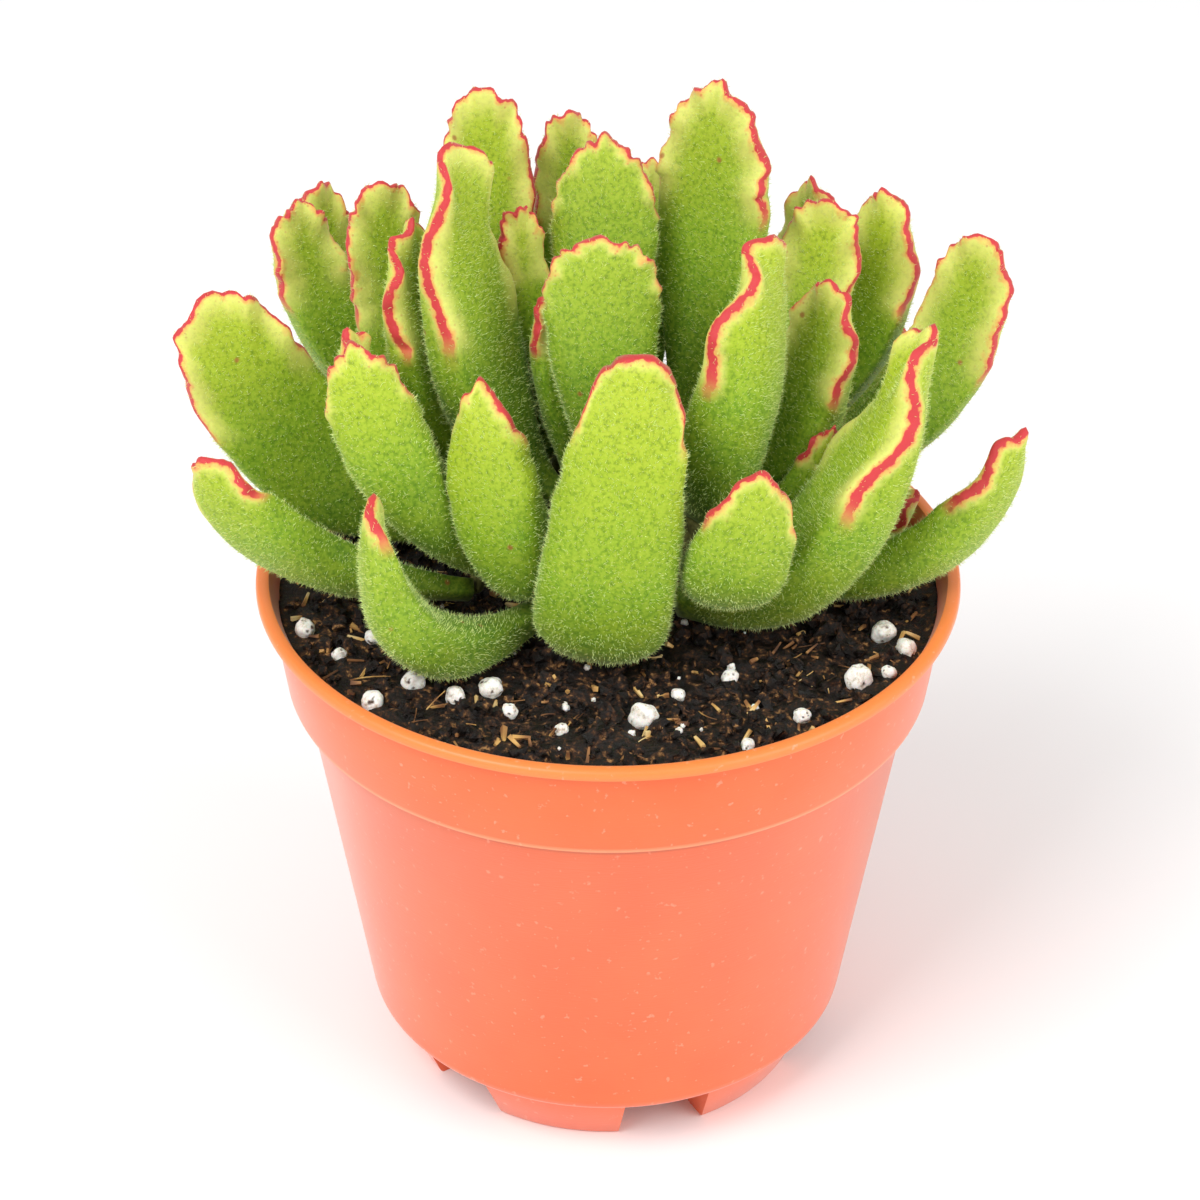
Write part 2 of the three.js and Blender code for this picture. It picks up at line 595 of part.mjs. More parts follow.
addPiece("pot", geometryOf(potSolid()), POT_FINISH);
addPiece("soil", geometryOf(soil), SOIL_FINISH);
addPiece("stems", geometryOf(stems), STEM_FINISH);
for (const row of LEAVES) addPiece(row[0], leafGeometry(row), LEAF_FINISH);
grains.forEach((grain, index) => addPiece(`perlite_${index + 1}`, grain, PERLITE_FINISH));

export default group;
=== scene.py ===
"""A potted Cotyledon with velvety, red-edged leaves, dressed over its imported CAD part.

Everything is in metres, +Z up, with the origin on the pot's axis at the surface that it stands on.
"""

import math

import bmesh
import bpy
import numpy as np
from mathutils import Matrix, Vector, noise


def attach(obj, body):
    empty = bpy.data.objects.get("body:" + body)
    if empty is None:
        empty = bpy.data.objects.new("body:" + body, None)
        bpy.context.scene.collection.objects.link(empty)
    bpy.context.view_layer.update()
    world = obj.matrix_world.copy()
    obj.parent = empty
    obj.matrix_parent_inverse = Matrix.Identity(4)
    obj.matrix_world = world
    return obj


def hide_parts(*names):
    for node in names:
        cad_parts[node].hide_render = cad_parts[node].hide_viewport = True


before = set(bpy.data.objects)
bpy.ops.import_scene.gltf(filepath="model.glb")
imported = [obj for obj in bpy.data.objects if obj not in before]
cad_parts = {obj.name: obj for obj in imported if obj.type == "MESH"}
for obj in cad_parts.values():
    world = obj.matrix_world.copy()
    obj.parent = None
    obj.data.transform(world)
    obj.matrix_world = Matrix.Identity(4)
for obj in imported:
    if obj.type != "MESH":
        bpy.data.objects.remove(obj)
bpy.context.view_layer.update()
MM = 0.001


# The nursery pot is one thin injection moulding in orange polypropylene. It has a rolled lip, a deep
# collar that steps in to a tapered wall, a flat floor with round drain holes, and six short feet.
POT_HEIGHT = 85 * MM
RIM_RADIUS = 52.5 * MM
LIP_WIDTH = 2.1 * MM
LIP_HEIGHT = 1.6 * MM
COLLAR_RADIUS = 50.6 * MM
COLLAR_FOOT_RADIUS = 48.6 * MM
COLLAR_DEPTH = 17 * MM
WALL_TOP_RADIUS = 46.2 * MM
BASE_RADIUS = 37.6 * MM
BASE_ROUND = 2.2 * MM
POT_WALL = 1.2 * MM
FOOT_HEIGHT = 9.6 * MM
POT_STEPS = 192
POT_SHARP_ANGLE = 40

FEET = 6
FRONT_FOOT_TURN = -14
FOOT_TOP_RADIUS = 35.6 * MM
FOOT_SOLE_RADIUS = 31.4 * MM
FOOT_WIDTH = 4.5 * MM
FOOT_TOP_SWEEP = 38
FOOT_SOLE_SHARE = 0.92
FOOT_STEPS = 14
DRAIN_RADIUS = 3.6 * MM
DRAIN_CIRCLE = 22 * MM

COLLAR_FOOT_Z = POT_HEIGHT - COLLAR_DEPTH
LIP_FOOT_Z = POT_HEIGHT - LIP_HEIGHT
FLOOR_TOP = FOOT_HEIGHT + POT_WALL
INNER_TOP_RADIUS = RIM_RADIUS - LIP_WIDTH
INNER_STEP_Z = COLLAR_FOOT_Z + POT_WALL
INNER_COLLAR_RADIUS = COLLAR_FOOT_RADIUS - POT_WALL
INNER_WALL_RADIUS = WALL_TOP_RADIUS - POT_WALL
INNER_BASE_RADIUS = BASE_RADIUS - POT_WALL


def linear(hex_colour):
    """An sRGB hex value as linear red, green, blue and alpha."""
    channels = [int(hex_colour[i : i + 2], 16) / 255 for i in (1, 3, 5)]
    return [c / 12.92 if c <= 0.04045 else ((c + 0.055) / 1.055) ** 2.4 for c in channels] + [1.0]


def add_node(tree, kind, links=None, stops=None, **settings):
    """Adds a node with its settings, its ramp's stops, and each input as a value or a link."""
    node = tree.nodes.new(kind)
    for name, value in settings.items():
        setattr(node, name, value)
    for socket, source in (links or {}).items():
        if isinstance(source, bpy.types.NodeSocket):
            tree.links.new(source, node.inputs[socket])
        else:
            node.inputs[socket].default_value = source
    if stops:
        band = node.color_ramp.elements
        while len(band) < len(stops):
            band.new(0.5)
        for element, (place, hex_colour) in zip(band, stops):
            element.position = place
            element.color = linear(hex_colour)
    return node


def start_finish(name, **values):
    """A new material, its node tree and its shader, with what is the same all over set on the shader."""
    finish = bpy.data.materials.new(name)
    finish.use_nodes = True
    tree = finish.node_tree
    shader = tree.nodes["Principled BSDF"]
    for socket, value in values.items():
        shader.inputs[socket.replace("_", " ")].default_value = value
    return finish, tree, shader


def add_piece(name, bm, finish):
    """Makes a bmesh an object at the origin that rides with the pot and takes its finish from a slot."""
    mesh = bpy.data.meshes.new(name)
    bm.to_mesh(mesh)
    bm.free()
    mesh.materials.append(finish)
    mesh.shade_smooth()
    piece = bpy.data.objects.new(name, mesh)
    bpy.context.scene.collection.objects.link(piece)
    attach(piece, "root")
    return piece


def turned(profile, steps, sweep=360, start=0):
    """Spins radius and height pairs about the pot's axis. A whole turn is merged where it closes."""
    bm = bmesh.new()
    turn = Matrix.Rotation(math.radians(start), 4, "Z")
    line = [bm.verts.new(turn @ Vector((0, -radius, z))) for radius, z in profile]
    edges = [bm.edges.new(pair) for pair in zip(line, line[1:])]
    bmesh.ops.spin(
        bm,
        geom=line + edges,
        cent=(0, 0, 0),
        axis=(0, 0, 1),
        angle=math.radians(sweep),
        steps=steps,
        use_merge=sweep == 360,
        use_duplicate=False,
    )
    bmesh.ops.remove_doubles(bm, verts=bm.verts, dist=0.001 * MM)
    bmesh.ops.recalc_face_normals(bm, faces=bm.faces)
    return bm


def cut_or_join(piece, tool, operation):
    """Cuts one closed mesh from another, or joins it on, and removes the tool."""
    change = piece.modifiers.new(operation.lower(), "BOOLEAN")
    change.object = tool
    change.operation = operation
    change.solver = "EXACT"
    bpy.context.view_layer.update()
    whole = piece.evaluated_get(bpy.context.evaluated_depsgraph_get())
    made = bpy.data.meshes.new_from_object(whole)
    piece.modifiers.clear()
    piece.data = made
    bpy.data.objects.remove(tool)


def loose_tool(name, bm):
    """A bmesh as an object that only cuts or joins another."""
    bmesh.ops.recalc_face_normals(bm, faces=bm.faces)
    mesh = bpy.data.meshes.new(name)
    bm.to_mesh(mesh)
    bm.free()
    tool = bpy.data.objects.new(name, mesh)
    bpy.context.scene.collection.objects.link(tool)
    return tool


# Polypropylene, moulded in a satin tool: a soft sheen, a little light that creeps through the thin
# wall, uneven colour where the melt flowed, pale specks, and fine level lines in the surface.
pot_finish, tree, shader = start_finish(
    "orange_polypropylene",
    Roughness=0.4,
    IOR=1.49,
    Sheen_Weight=0.3,
    Sheen_Roughness=0.35,
    Subsurface_Weight=0.08,
    Subsurface_Scale=1.5 * MM,
)
shader.inputs["Subsurface Radius"].default_value = (1.0, 0.35, 0.15)
place = add_node(tree, "ShaderNodeTexCoord").outputs["Object"]
height = add_node(tree, "ShaderNodeSeparateXYZ", {"Vector": place}).outputs["Z"]
level = add_node(
    tree,
    "ShaderNodeMapRange",
    {"Value": height, "From Min": 0.0, "From Max": POT_HEIGHT},
).outputs["Result"]
# The even light hardly shows the step under the collar, so its shade is painted in as a dark band,
# with a painted highlight as a pale line along the collar's lower edge. Both go by height alone.
collar_foot = COLLAR_FOOT_Z / POT_HEIGHT
shade_band = 1.5 * MM / POT_HEIGHT
painted_highlight_band = 0.5 * MM / POT_HEIGHT
graded = add_node(
    tree,
    "ShaderNodeValToRGB",
    {"Fac": level},
    stops=[
        (0.0, "#E8632F"),
        (collar_foot - 1.5 * shade_band, "#E8632F"),
        (collar_foot - shade_band, "#B04A24"),
        (collar_foot, "#A84420"),
        (collar_foot + 0.3 * painted_highlight_band, "#F49468"),
        (collar_foot + painted_highlight_band, "#F49468"),
        (collar_foot + 2 * painted_highlight_band, "#E8662F"),
        # The lip is painted lighter and yellower than the wall, a painted highlight on its upward face.
        (0.97, "#E8662E"),
        (0.985, "#F0823E"),
    ],
).outputs["Color"]
flow = add_node(
    tree,
    "ShaderNodeTexNoise",
    {"Vector": place, "Scale": 1 / (14 * MM), "Detail": 3.0},
).outputs["Fac"]
flow_step = add_node(
    tree,
    "ShaderNodeMapRange",
    {"Value": flow, "From Min": 0.35, "From Max": 0.75, "To Min": 0.0, "To Max": 0.22},
).outputs["Result"]
washed = add_node(
    tree,
    "ShaderNodeMix",
    {0: flow_step, 6: graded, 7: linear("#F08048")},
    data_type="RGBA",
).outputs[2]
specks = add_node(
    tree,
    "ShaderNodeTexNoise",
    {"Vector": place, "Scale": 1 / (1.1 * MM), "Detail": 2.0},
).outputs["Fac"]
speck_step = add_node(
    tree,
    "ShaderNodeMapRange",
    {"Value": specks, "From Min": 0.66, "From Max": 0.74, "To Min": 0.0, "To Max": 0.35},
).outputs["Result"]
speckled = add_node(
    tree,
    "ShaderNodeMix",
    {0: speck_step, 6: washed, 7: linear("#FBB79C")},
    data_type="RGBA",
).outputs[2]
tree.links.new(speckled, shader.inputs["Base Color"])
squeezed = add_node(
    tree,
    "ShaderNodeMapping",
    {"Vector": place, "Scale": (1.0, 1.0, 9.0)},
).outputs["Vector"]
grain = add_node(
    tree,
    "ShaderNodeTexNoise",
    {"Vector": squeezed, "Scale": 1 / (2.2 * MM), "Detail": 4.0},
).outputs["Fac"]
relief = add_node(
    tree,
    "ShaderNodeBump",
    {"Height": grain, "Strength": 0.12, "Distance": 0.12 * MM},
).outputs["Normal"]
tree.links.new(relief, shader.inputs["Normal"])

pot_bm = turned(
    [
        (0, FOOT_HEIGHT),
        (BASE_RADIUS - BASE_ROUND, FOOT_HEIGHT),
        (BASE_RADIUS - 0.62 * BASE_ROUND, FOOT_HEIGHT + 0.08 * BASE_ROUND),
        (BASE_RADIUS - 0.29 * BASE_ROUND, FOOT_HEIGHT + 0.3 * BASE_ROUND),
        (BASE_RADIUS - 0.08 * BASE_ROUND, FOOT_HEIGHT + 0.62 * BASE_ROUND),
        (BASE_RADIUS, FOOT_HEIGHT + BASE_ROUND),
        (WALL_TOP_RADIUS, COLLAR_FOOT_Z - 0.25 * MM),
        (WALL_TOP_RADIUS + 0.25 * MM, COLLAR_FOOT_Z),
        (COLLAR_FOOT_RADIUS - 0.55 * MM, COLLAR_FOOT_Z),
        (COLLAR_FOOT_RADIUS - 0.16 * MM, COLLAR_FOOT_Z + 0.16 * MM),
        (COLLAR_FOOT_RADIUS, COLLAR_FOOT_Z + 0.55 * MM),
        (COLLAR_RADIUS, LIP_FOOT_Z),
        (RIM_RADIUS - 0.5 * MM, LIP_FOOT_Z),
        (RIM_RADIUS - 0.12 * MM, LIP_FOOT_Z + 0.15 * MM),
        (RIM_RADIUS, LIP_FOOT_Z + 0.5 * MM),
        (RIM_RADIUS - 0.04 * MM, POT_HEIGHT - 0.6 * MM),
        (RIM_RADIUS - 0.2 * MM, POT_HEIGHT - 0.2 * MM),
        (RIM_RADIUS - 0.55 * MM, POT_HEIGHT),
        (INNER_TOP_RADIUS + 0.5 * MM, POT_HEIGHT),
        (INNER_TOP_RADIUS + 0.14 * MM, POT_HEIGHT - 0.14 * MM),
        (INNER_TOP_RADIUS, POT_HEIGHT - 0.5 * MM),
        (COLLAR_RADIUS - POT_WALL, LIP_FOOT_Z - 1 * MM),
        (INNER_COLLAR_RADIUS, INNER_STEP_Z),
        (INNER_WALL_RADIUS, INNER_STEP_Z),
        (INNER_BASE_RADIUS, FLOOR_TOP + BASE_ROUND),
        (INNER_BASE_RADIUS - BASE_ROUND, FLOOR_TOP),
        (0, FLOOR_TOP),
    ],
    POT_STEPS,
)
pot = add_piece("pot_moulding", pot_bm, pot_finish)

feet_bm = bmesh.new()
for foot in range(FEET):
    middle = FRONT_FOOT_TURN + foot * 360 / FEET
    arc = turned(
        [
            (FOOT_SOLE_RADIUS - FOOT_WIDTH, 0),
            (FOOT_SOLE_RADIUS - 0.5 * MM, 0),
            (FOOT_SOLE_RADIUS, 0.45 * MM),
            (FOOT_TOP_RADIUS, FOOT_HEIGHT + 0.5 * POT_WALL),
            (FOOT_TOP_RADIUS - FOOT_WIDTH, FOOT_HEIGHT + 0.5 * POT_WALL),
            (FOOT_SOLE_RADIUS - FOOT_WIDTH, 0),
        ],
        FOOT_STEPS,
        sweep=FOOT_TOP_SWEEP,
        start=-FOOT_TOP_SWEEP / 2,
    )
    bmesh.ops.holes_fill(arc, edges=[e for e in arc.edges if e.is_boundary], sides=0)
    for v in arc.verts:
        low = 1 - v.co.z / FOOT_HEIGHT
        drawn_in = math.atan2(v.co.x, -v.co.y) * (FOOT_SOLE_SHARE - 1) * low
        v.co = Matrix.Rotation(drawn_in, 4, "Z") @ v.co
    bmesh.ops.rotate(arc, verts=arc.verts, matrix=Matrix.Rotation(math.radians(middle), 3, "Z"))
    one_foot = bpy.data.meshes.new("one_foot")
    arc.to_mesh(one_foot)
    arc.free()
    feet_bm.from_mesh(one_foot)
    bpy.data.meshes.remove(one_foot)
cut_or_join(pot, loose_tool("feet", feet_bm), "UNION")

drains_bm = bmesh.new()
drain_places = [Vector((0, 0, 0))]
for hole in range(FEET):
    turn = math.radians(FRONT_FOOT_TURN + (hole + 0.5) * 360 / FEET)
    drain_places.append(Vector((DRAIN_CIRCLE * math.sin(turn), -DRAIN_CIRCLE * math.cos(turn), 0)))
for at in drain_places:
    bmesh.ops.create_cone(
        drains_bm,
        segments=32,
        radius1=DRAIN_RADIUS,
        radius2=DRAIN_RADIUS,
        depth=4 * POT_WALL,
        cap_ends=True,
        matrix=Matrix.Translation(at + Vector((0, 0, FOOT_HEIGHT + 0.5 * POT_WALL))),
    )
cut_or_join(pot, loose_tool("drains", drains_bm), "DIFFERENCE")
pot.data.materials.clear()
pot.data.materials.append(pot_finish)
pot.data.shade_smooth()
pot.data.set_sharp_from_angle(angle=math.radians(POT_SHARP_ANGLE))
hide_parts("pot")


# The potting mix is dark sphagnum peat, packed into the pot by hand: crumbs and lumps of peat, short
# tan fibres and bark slivers, and perlite. It fills the pot to a few millimetres under the lip.
MIX_TOP = 81.2 * MM
MIX_GAP = 0.3 * MM
MIX_TOP_RADIUS = 49.2 * MM
MIX_STEPS = 200
MIX_RINGS = 70
MIX_RELIEF = 1.2 * MM
CRUMBS = 1500
CRUMB_SIZES = (0.7 * MM, 3.2 * MM)
FIBRES = 110
FIBRE_LENGTHS = (2 * MM, 6 * MM)
FIBRE_RADIUS = 0.11 * MM
SLIVERS = 240
SLIVER_LENGTHS = (1.2 * MM, 3 * MM)
SLIVER_RADII = (0.2 * MM, 0.55 * MM)
UPRIGHT_SHARE = 0.35  # how much crumbs and fibres stand up, against lying over
SMALL_CRUMBS = 2.2  # power that makes small crumbs commoner than large ones
MIX_SEED = 41
BEADS = 75
BEAD_SIZES = (0.5 * MM, 1.5 * MM)

draw = np.random.default_rng(MIX_SEED)

# Perlite grains that are big enough to be pieces of their own: place on the mix and size across.
GRAINS = [
    (-44.5, -12.5, 3.7),
    (-39, -19, 2.6),
    (-34.5, -14.5, 2.7),
    (-33.5, -31, 4.1),
    (-28, -26, 4),
    (-21.8, -29.5, 3.7),
    (-16.8, -27.5, 4.1),
    (-14, -33, 2.8),
    (-6.5, -37.5, 2.6),
    (5, -34.5, 4.7),
    (10, -29, 2.6),
    (17.5, -24.8, 3.1),
    (27.5, -34, 2.9),
    (19.5, -41, 2.5),
    (40.5, -13, 4.2),
    (43.4, -17.2, 3.8),
    (36, -25, 4.9),
    (40.5, -23, 2.6),
]
GRAIN_SHRINK = 0.82  # each grain is drawn at this share of its size, the same all ways
GRAIN_SUNK = 0.35


def mix_height(x, y):
    """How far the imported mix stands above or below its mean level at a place."""
    at = Vector((x, y, 0))
    lumps = noise.noise(at / (9 * MM)) * 0.9
    clods = noise.noise(at / (3.2 * MM) + Vector((7, 3, 1))) * 0.75
    crumb = noise.noise(at / (1.1 * MM) + Vector((2, 9, 4))) * 0.4
    return MIX_RELIEF * (lumps + clods + crumb)


def scattered(name, template, places):
    """One mesh of many copies of a small one, each with its own 4 by 4 place."""
    shape = np.array([v.co for v in template.vertices])
    corners = np.array([corner.vertex_index for corner in template.loops])
    starts = np.array([face.loop_start for face in template.polygons])
    copies = np.arange(len(places))[:, None]
    at = np.einsum("nij,vj->nvi", places[:, :3, :3], shape) + places[:, None, :3, 3]
    mesh = bpy.data.meshes.new(name)
    mesh.vertices.add(at.shape[0] * at.shape[1])
    mesh.vertices.foreach_set("co", at.astype(np.float32).ravel())
    mesh.loops.add(len(places) * len(corners))
    mesh.loops.foreach_set("vertex_index", (corners + len(shape) * copies).astype(np.int32).ravel())
    mesh.polygons.add(len(places) * len(starts))
    mesh.polygons.foreach_set("loop_start", (starts + len(corners) * copies).astype(np.int32).ravel())
    mesh.update(calc_edges=True)
    return mesh


def random_places(spots, lengths, widths):
    """A random turn for each spot, with a length along the copy's own Z and a width across it."""
    lean = draw.normal(size=(len(spots), 3)) * (1.0, 1.0, UPRIGHT_SHARE)
    lean /= np.linalg.norm(lean, axis=1)[:, None]
    other = np.cross(lean, draw.normal(size=lean.shape))
    other /= np.linalg.norm(other, axis=1)[:, None]
    third = np.cross(lean, other)
    places = np.zeros((len(spots), 4, 4))
    places[:, :3, 0] = other * np.asarray(widths)[:, None]
    places[:, :3, 1] = third * np.asarray(widths)[:, None]
    places[:, :3, 2] = lean * np.asarray(lengths)[:, None]
    places[:, :3, 3] = spots
    places[:, 3, 3] = 1
    return places


def spots_on_mix(count, reach, clear_of_grains=0.55):
    """Places spread evenly over the mix, kept off the larger perlite grains."""
    spots = []
    while len(spots) < count:
        x, y = draw.uniform(-reach, reach, 2)
        free = all(
            math.hypot(x - gx * MM, y - gy * MM) > clear_of_grains * size * MM
            for gx, gy, size in GRAINS
        )
        if free and math.hypot(x, y) < reach:
            spots.append((x, y, MIX_TOP + mix_height(x, y)))
    return np.array(spots)


def rough_stone(subdivisions, seed, roughness):
    """A small rough lump about one unit across, as a mesh for scattering."""
    bm = bmesh.new()
    bmesh.ops.create_icosphere(bm, subdivisions=subdivisions, radius=0.5)
    for v in bm.verts:
        v.co *= 1 + roughness * noise.noise(v.co * 3.1 + Vector((seed, 2 * seed, 5)))
    mesh = bpy.data.meshes.new("lump")
    bm.to_mesh(mesh)
    bm.free()
    return mesh


def joined(name, meshes, finish, smooth=True):
    """Several scattered meshes as one piece."""
    bm = bmesh.new()
    for mesh in meshes:
        bm.from_mesh(mesh)
        bpy.data.meshes.remove(mesh)
    piece = add_piece(name, bm, finish)
    if not smooth:
        piece.data.shade_flat()
    return piece


# Damp peat: nearly black brown, dull, with warmer crumbs and a few glints where it is wet.
mix_finish, tree, shader = start_finish("damp_peat", IOR=1.4)
place = add_node(tree, "ShaderNodeTexCoord").outputs["Object"]
patches = add_node(
    tree,
    "ShaderNodeTexNoise",
    {"Vector": place, "Scale": 1 / (1.3 * MM), "Detail": 5.0, "Roughness": 0.65},
).outputs["Fac"]
peat = add_node(
    tree,
    "ShaderNodeValToRGB",
    {"Fac": patches},
    stops=[(0.4, "#0A0604"), (0.52, "#1E120B"), (0.6, "#4E321E"), (0.68, "#A87C4C")],
).outputs["Color"]
tree.links.new(peat, shader.inputs["Base Color"])
wet = add_node(
    tree,
    "ShaderNodeMapRange",
    {"Value": patches, "From Min": 0.35, "From Max": 0.65, "To Min": 0.3, "To Max": 0.9},
).outputs["Result"]
tree.links.new(wet, shader.inputs["Roughness"])
fine = add_node(
    tree,
    "ShaderNodeTexNoise",
    {"Vector": place, "Scale": 1 / (0.7 * MM), "Detail": 5.0, "Roughness": 0.7},
).outputs["Fac"]
relief = add_node(
    tree,
    "ShaderNodeBump",
    {"Height": fine, "Strength": 0.9, "Distance": 0.5 * MM},
).outputs["Normal"]
tree.links.new(relief, shader.inputs["Normal"])

mix_profile = [
    (0, FLOOR_TOP + MIX_GAP),
    (INNER_BASE_RADIUS - BASE_ROUND - MIX_GAP, FLOOR_TOP + MIX_GAP),
    (INNER_BASE_RADIUS - MIX_GAP, FLOOR_TOP + BASE_ROUND + MIX_GAP),
    (INNER_WALL_RADIUS - 1.4 * MIX_GAP, INNER_STEP_Z + MIX_GAP),
    (INNER_COLLAR_RADIUS - MIX_GAP, INNER_STEP_Z + MIX_GAP),
    (MIX_TOP_RADIUS - 0.6 * MM, MIX_TOP - 1.2 * MM),
]
mix_profile += [(MIX_TOP_RADIUS * i / MIX_RINGS, MIX_TOP) for i in range(MIX_RINGS, -1, -1)]
mix_bm = turned(mix_profile, MIX_STEPS)
for v in mix_bm.verts:
    if v.co.z > MIX_TOP - 0.1 * MM:
        v.co.z += mix_height(v.co.x, v.co.y)
mix = add_piece("potting_mix_bed", mix_bm, mix_finish)
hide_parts("soil")

crumb_sizes = CRUMB_SIZES[0] + (CRUMB_SIZES[1] - CRUMB_SIZES[0]) * draw.random(CRUMBS) ** SMALL_CRUMBS
crumb_places = random_places(
    spots_on_mix(CRUMBS, MIX_TOP_RADIUS - 1.2 * MM),
    crumb_sizes * draw.uniform(0.8, 1.5, CRUMBS),
    crumb_sizes,
)
crumb_meshes = [
    scattered("crumbs", rough_stone(2, seed, 1.1), crumb_places[seed::6]) for seed in range(6)
]
joined("peat_crumbs", crumb_meshes, mix_finish, smooth=False)

# Peat fibres and bark slivers: dry, tan to golden, thin and bent.
fibre_finish, tree, shader = start_finish("dry_fibre", Roughness=0.7)
place = add_node(tree, "ShaderNodeTexCoord").outputs["Object"]
tints = add_node(
    tree,
    "ShaderNodeTexNoise",
    {"Vector": place, "Scale": 1 / (5 * MM), "Detail": 1.0},
).outputs["Fac"]
tan = add_node(
    tree,
    "ShaderNodeValToRGB",
    {"Fac": tints},
    stops=[(0.35, "#5A3820"), (0.48, "#94653A"), (0.58, "#CDA05A"), (0.7, "#E8CC90")],
).outputs["Color"]
tree.links.new(tan, shader.inputs["Base Color"])


def bent_stick(sides, bend):
    """A thin round stick one unit long, bent sideways by its middle."""
    bm = bmesh.new()
    bmesh.ops.create_cone(bm, segments=sides, radius1=1, radius2=0.6, depth=1, cap_ends=True)
    long_edges = [e for e in bm.edges if abs(e.verts[0].co.z - e.verts[1].co.z) > 0.5]
    bmesh.ops.subdivide_edges(bm, edges=long_edges, cuts=4, use_grid_fill=True)
    for v in bm.verts:
        v.co.x += bend * (0.25 - v.co.z**2)
    mesh = bpy.data.meshes.new("stick")
    bm.to_mesh(mesh)
    bm.free()
    return mesh


fibre_places = random_places(
    spots_on_mix(FIBRES, MIX_TOP_RADIUS - 4 * MM) + (0, 0, 0.35 * MM),
    draw.uniform(*FIBRE_LENGTHS, FIBRES),
    np.full(FIBRES, FIBRE_RADIUS),
)
sliver_places = random_places(
    spots_on_mix(SLIVERS, MIX_TOP_RADIUS - 2 * MM) + (0, 0, 0.3 * MM),
    draw.uniform(*SLIVER_LENGTHS, SLIVERS),
    draw.uniform(*SLIVER_RADII, SLIVERS),
)
fibre_meshes = [
    scattered("fibres", bent_stick(5, 6.0), fibre_places[0::2]),
    scattered("fibres", bent_stick(5, -9.0), fibre_places[1::2]),
    scattered("slivers", bent_stick(4, 0.4), sliver_places),
]
joined("peat_fibres", fibre_meshes, fibre_finish, smooth=False)


# Perlite is volcanic glass puffed by heat: light white grains, rounded, chalky and full of pits that
# hold specks of peat. The larger grains are pieces of their own, and the smallest are one scatter.
GRAIN_ROUGHNESS = 0.2
GRAIN_LENGTH_SHARE = 1.08
GRAIN_WIDTH_SHARE = 0.92
PITS = 7
PIT_WIDTHS = (0.1, 0.26)
PIT_DEPTH = 0.16

grain_finish, tree, shader = start_finish(
    "puffed_perlite", Roughness=0.85, Subsurface_Weight=0.15, Subsurface_Scale=0.5 * MM
)
place = add_node(tree, "ShaderNodeTexCoord").outputs["Object"]
pit_depth = add_node(tree, "ShaderNodeAttribute", attribute_name="pit").outputs["Fac"]
dirt = add_node(
    tree,
    "ShaderNodeTexNoise",
    {"Vector": place, "Scale": 1 / (0.9 * MM), "Detail": 4.0, "Roughness": 0.65},
).outputs["Fac"]
chalk = add_node(
    tree,
    "ShaderNodeValToRGB",
    {"Fac": dirt},
    stops=[(0.3, "#9A8A78"), (0.4, "#DAD2C4"), (0.52, "#F4F1EA"), (0.8, "#FBFAF6")],
).outputs["Color"]
pitted = add_node(
    tree,
    "ShaderNodeMix",
    {0: pit_depth, 6: chalk, 7: linear("#4A3528")},
    data_type="RGBA",
).outputs[2]
tree.links.new(pitted, shader.inputs["Base Color"])
fine = add_node(
    tree,
    "ShaderNodeTexNoise",
    {"Vector": place, "Scale": 1 / (0.35 * MM), "Detail": 3.0},
).outputs["Fac"]
relief = add_node(
    tree,
    "ShaderNodeBump",
    {"Height": fine, "Strength": 0.5, "Distance": 0.15 * MM},
).outputs["Normal"]
tree.links.new(relief, shader.inputs["Normal"])

for number, (x, y, size) in enumerate(GRAINS, 1):
    grain_bm = bmesh.new()
    bmesh.ops.create_icosphere(grain_bm, subdivisions=4, radius=1)
    pit_layer = grain_bm.verts.layers.float.new("pit")
    pit_ways = draw.normal(size=(PITS, 3))
    pit_ways /= np.linalg.norm(pit_ways, axis=1)[:, None]
    pit_widths = draw.uniform(*PIT_WIDTHS, PITS)
    offset = Vector((number * 3.7, 1, 2))
    for v in grain_bm.verts:
        way = v.co.normalized()
        bulge = 1 + GRAIN_ROUGHNESS * noise.noise(way * 1.3 + offset)
        bulge += 0.06 * noise.noise(way * 4 + offset)
        hollow = max(
            max(0.0, 1 - (1 - way.dot(Vector(pit))) / (0.5 * width**2))
            for pit, width in zip(pit_ways, pit_widths)
        )
        v[pit_layer] = min(1.0, 1.6 * hollow)
        v.co = way * (bulge - PIT_DEPTH * hollow)
    turn = Matrix.Rotation(number * 1.9, 3, "Z")
    centre = Vector((x * MM, y * MM, MIX_TOP + size * MM * GRAIN_SHRINK * (0.5 - GRAIN_SUNK)))
    for v in grain_bm.verts:
        v.co.x *= GRAIN_LENGTH_SHARE
        v.co.y *= GRAIN_WIDTH_SHARE
        v.co = centre + (turn @ v.co) * 0.5 * size * MM * GRAIN_SHRINK
    grain_piece = add_piece(f"perlite_grain_{number}", grain_bm, grain_finish)
    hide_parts(f"perlite_{number}")

bead_sizes = draw.uniform(*BEAD_SIZES, BEADS) * draw.uniform(0.5, 1, BEADS)
bead_places = random_places(
    spots_on_mix(BEADS, MIX_TOP_RADIUS - 1.5 * MM, 0.8) + (0, 0, 0.25 * MM), bead_sizes, bead_sizes
)
bead_meshes = [scattered("beads", rough_stone(3, seed, 0.4), bead_places[seed::3]) for seed in range(3)]
joined("perlite_beads", bead_meshes, grain_finish)


# The stems are short, woody and olive brown, forking low in the clump, with the scars of old leaves.
# They are one growth, so they are one piece, taken from the CAD form and grown together smoothly.
STEM_VOXEL = 0.55 * MM
STEM_SMOOTHING = 8

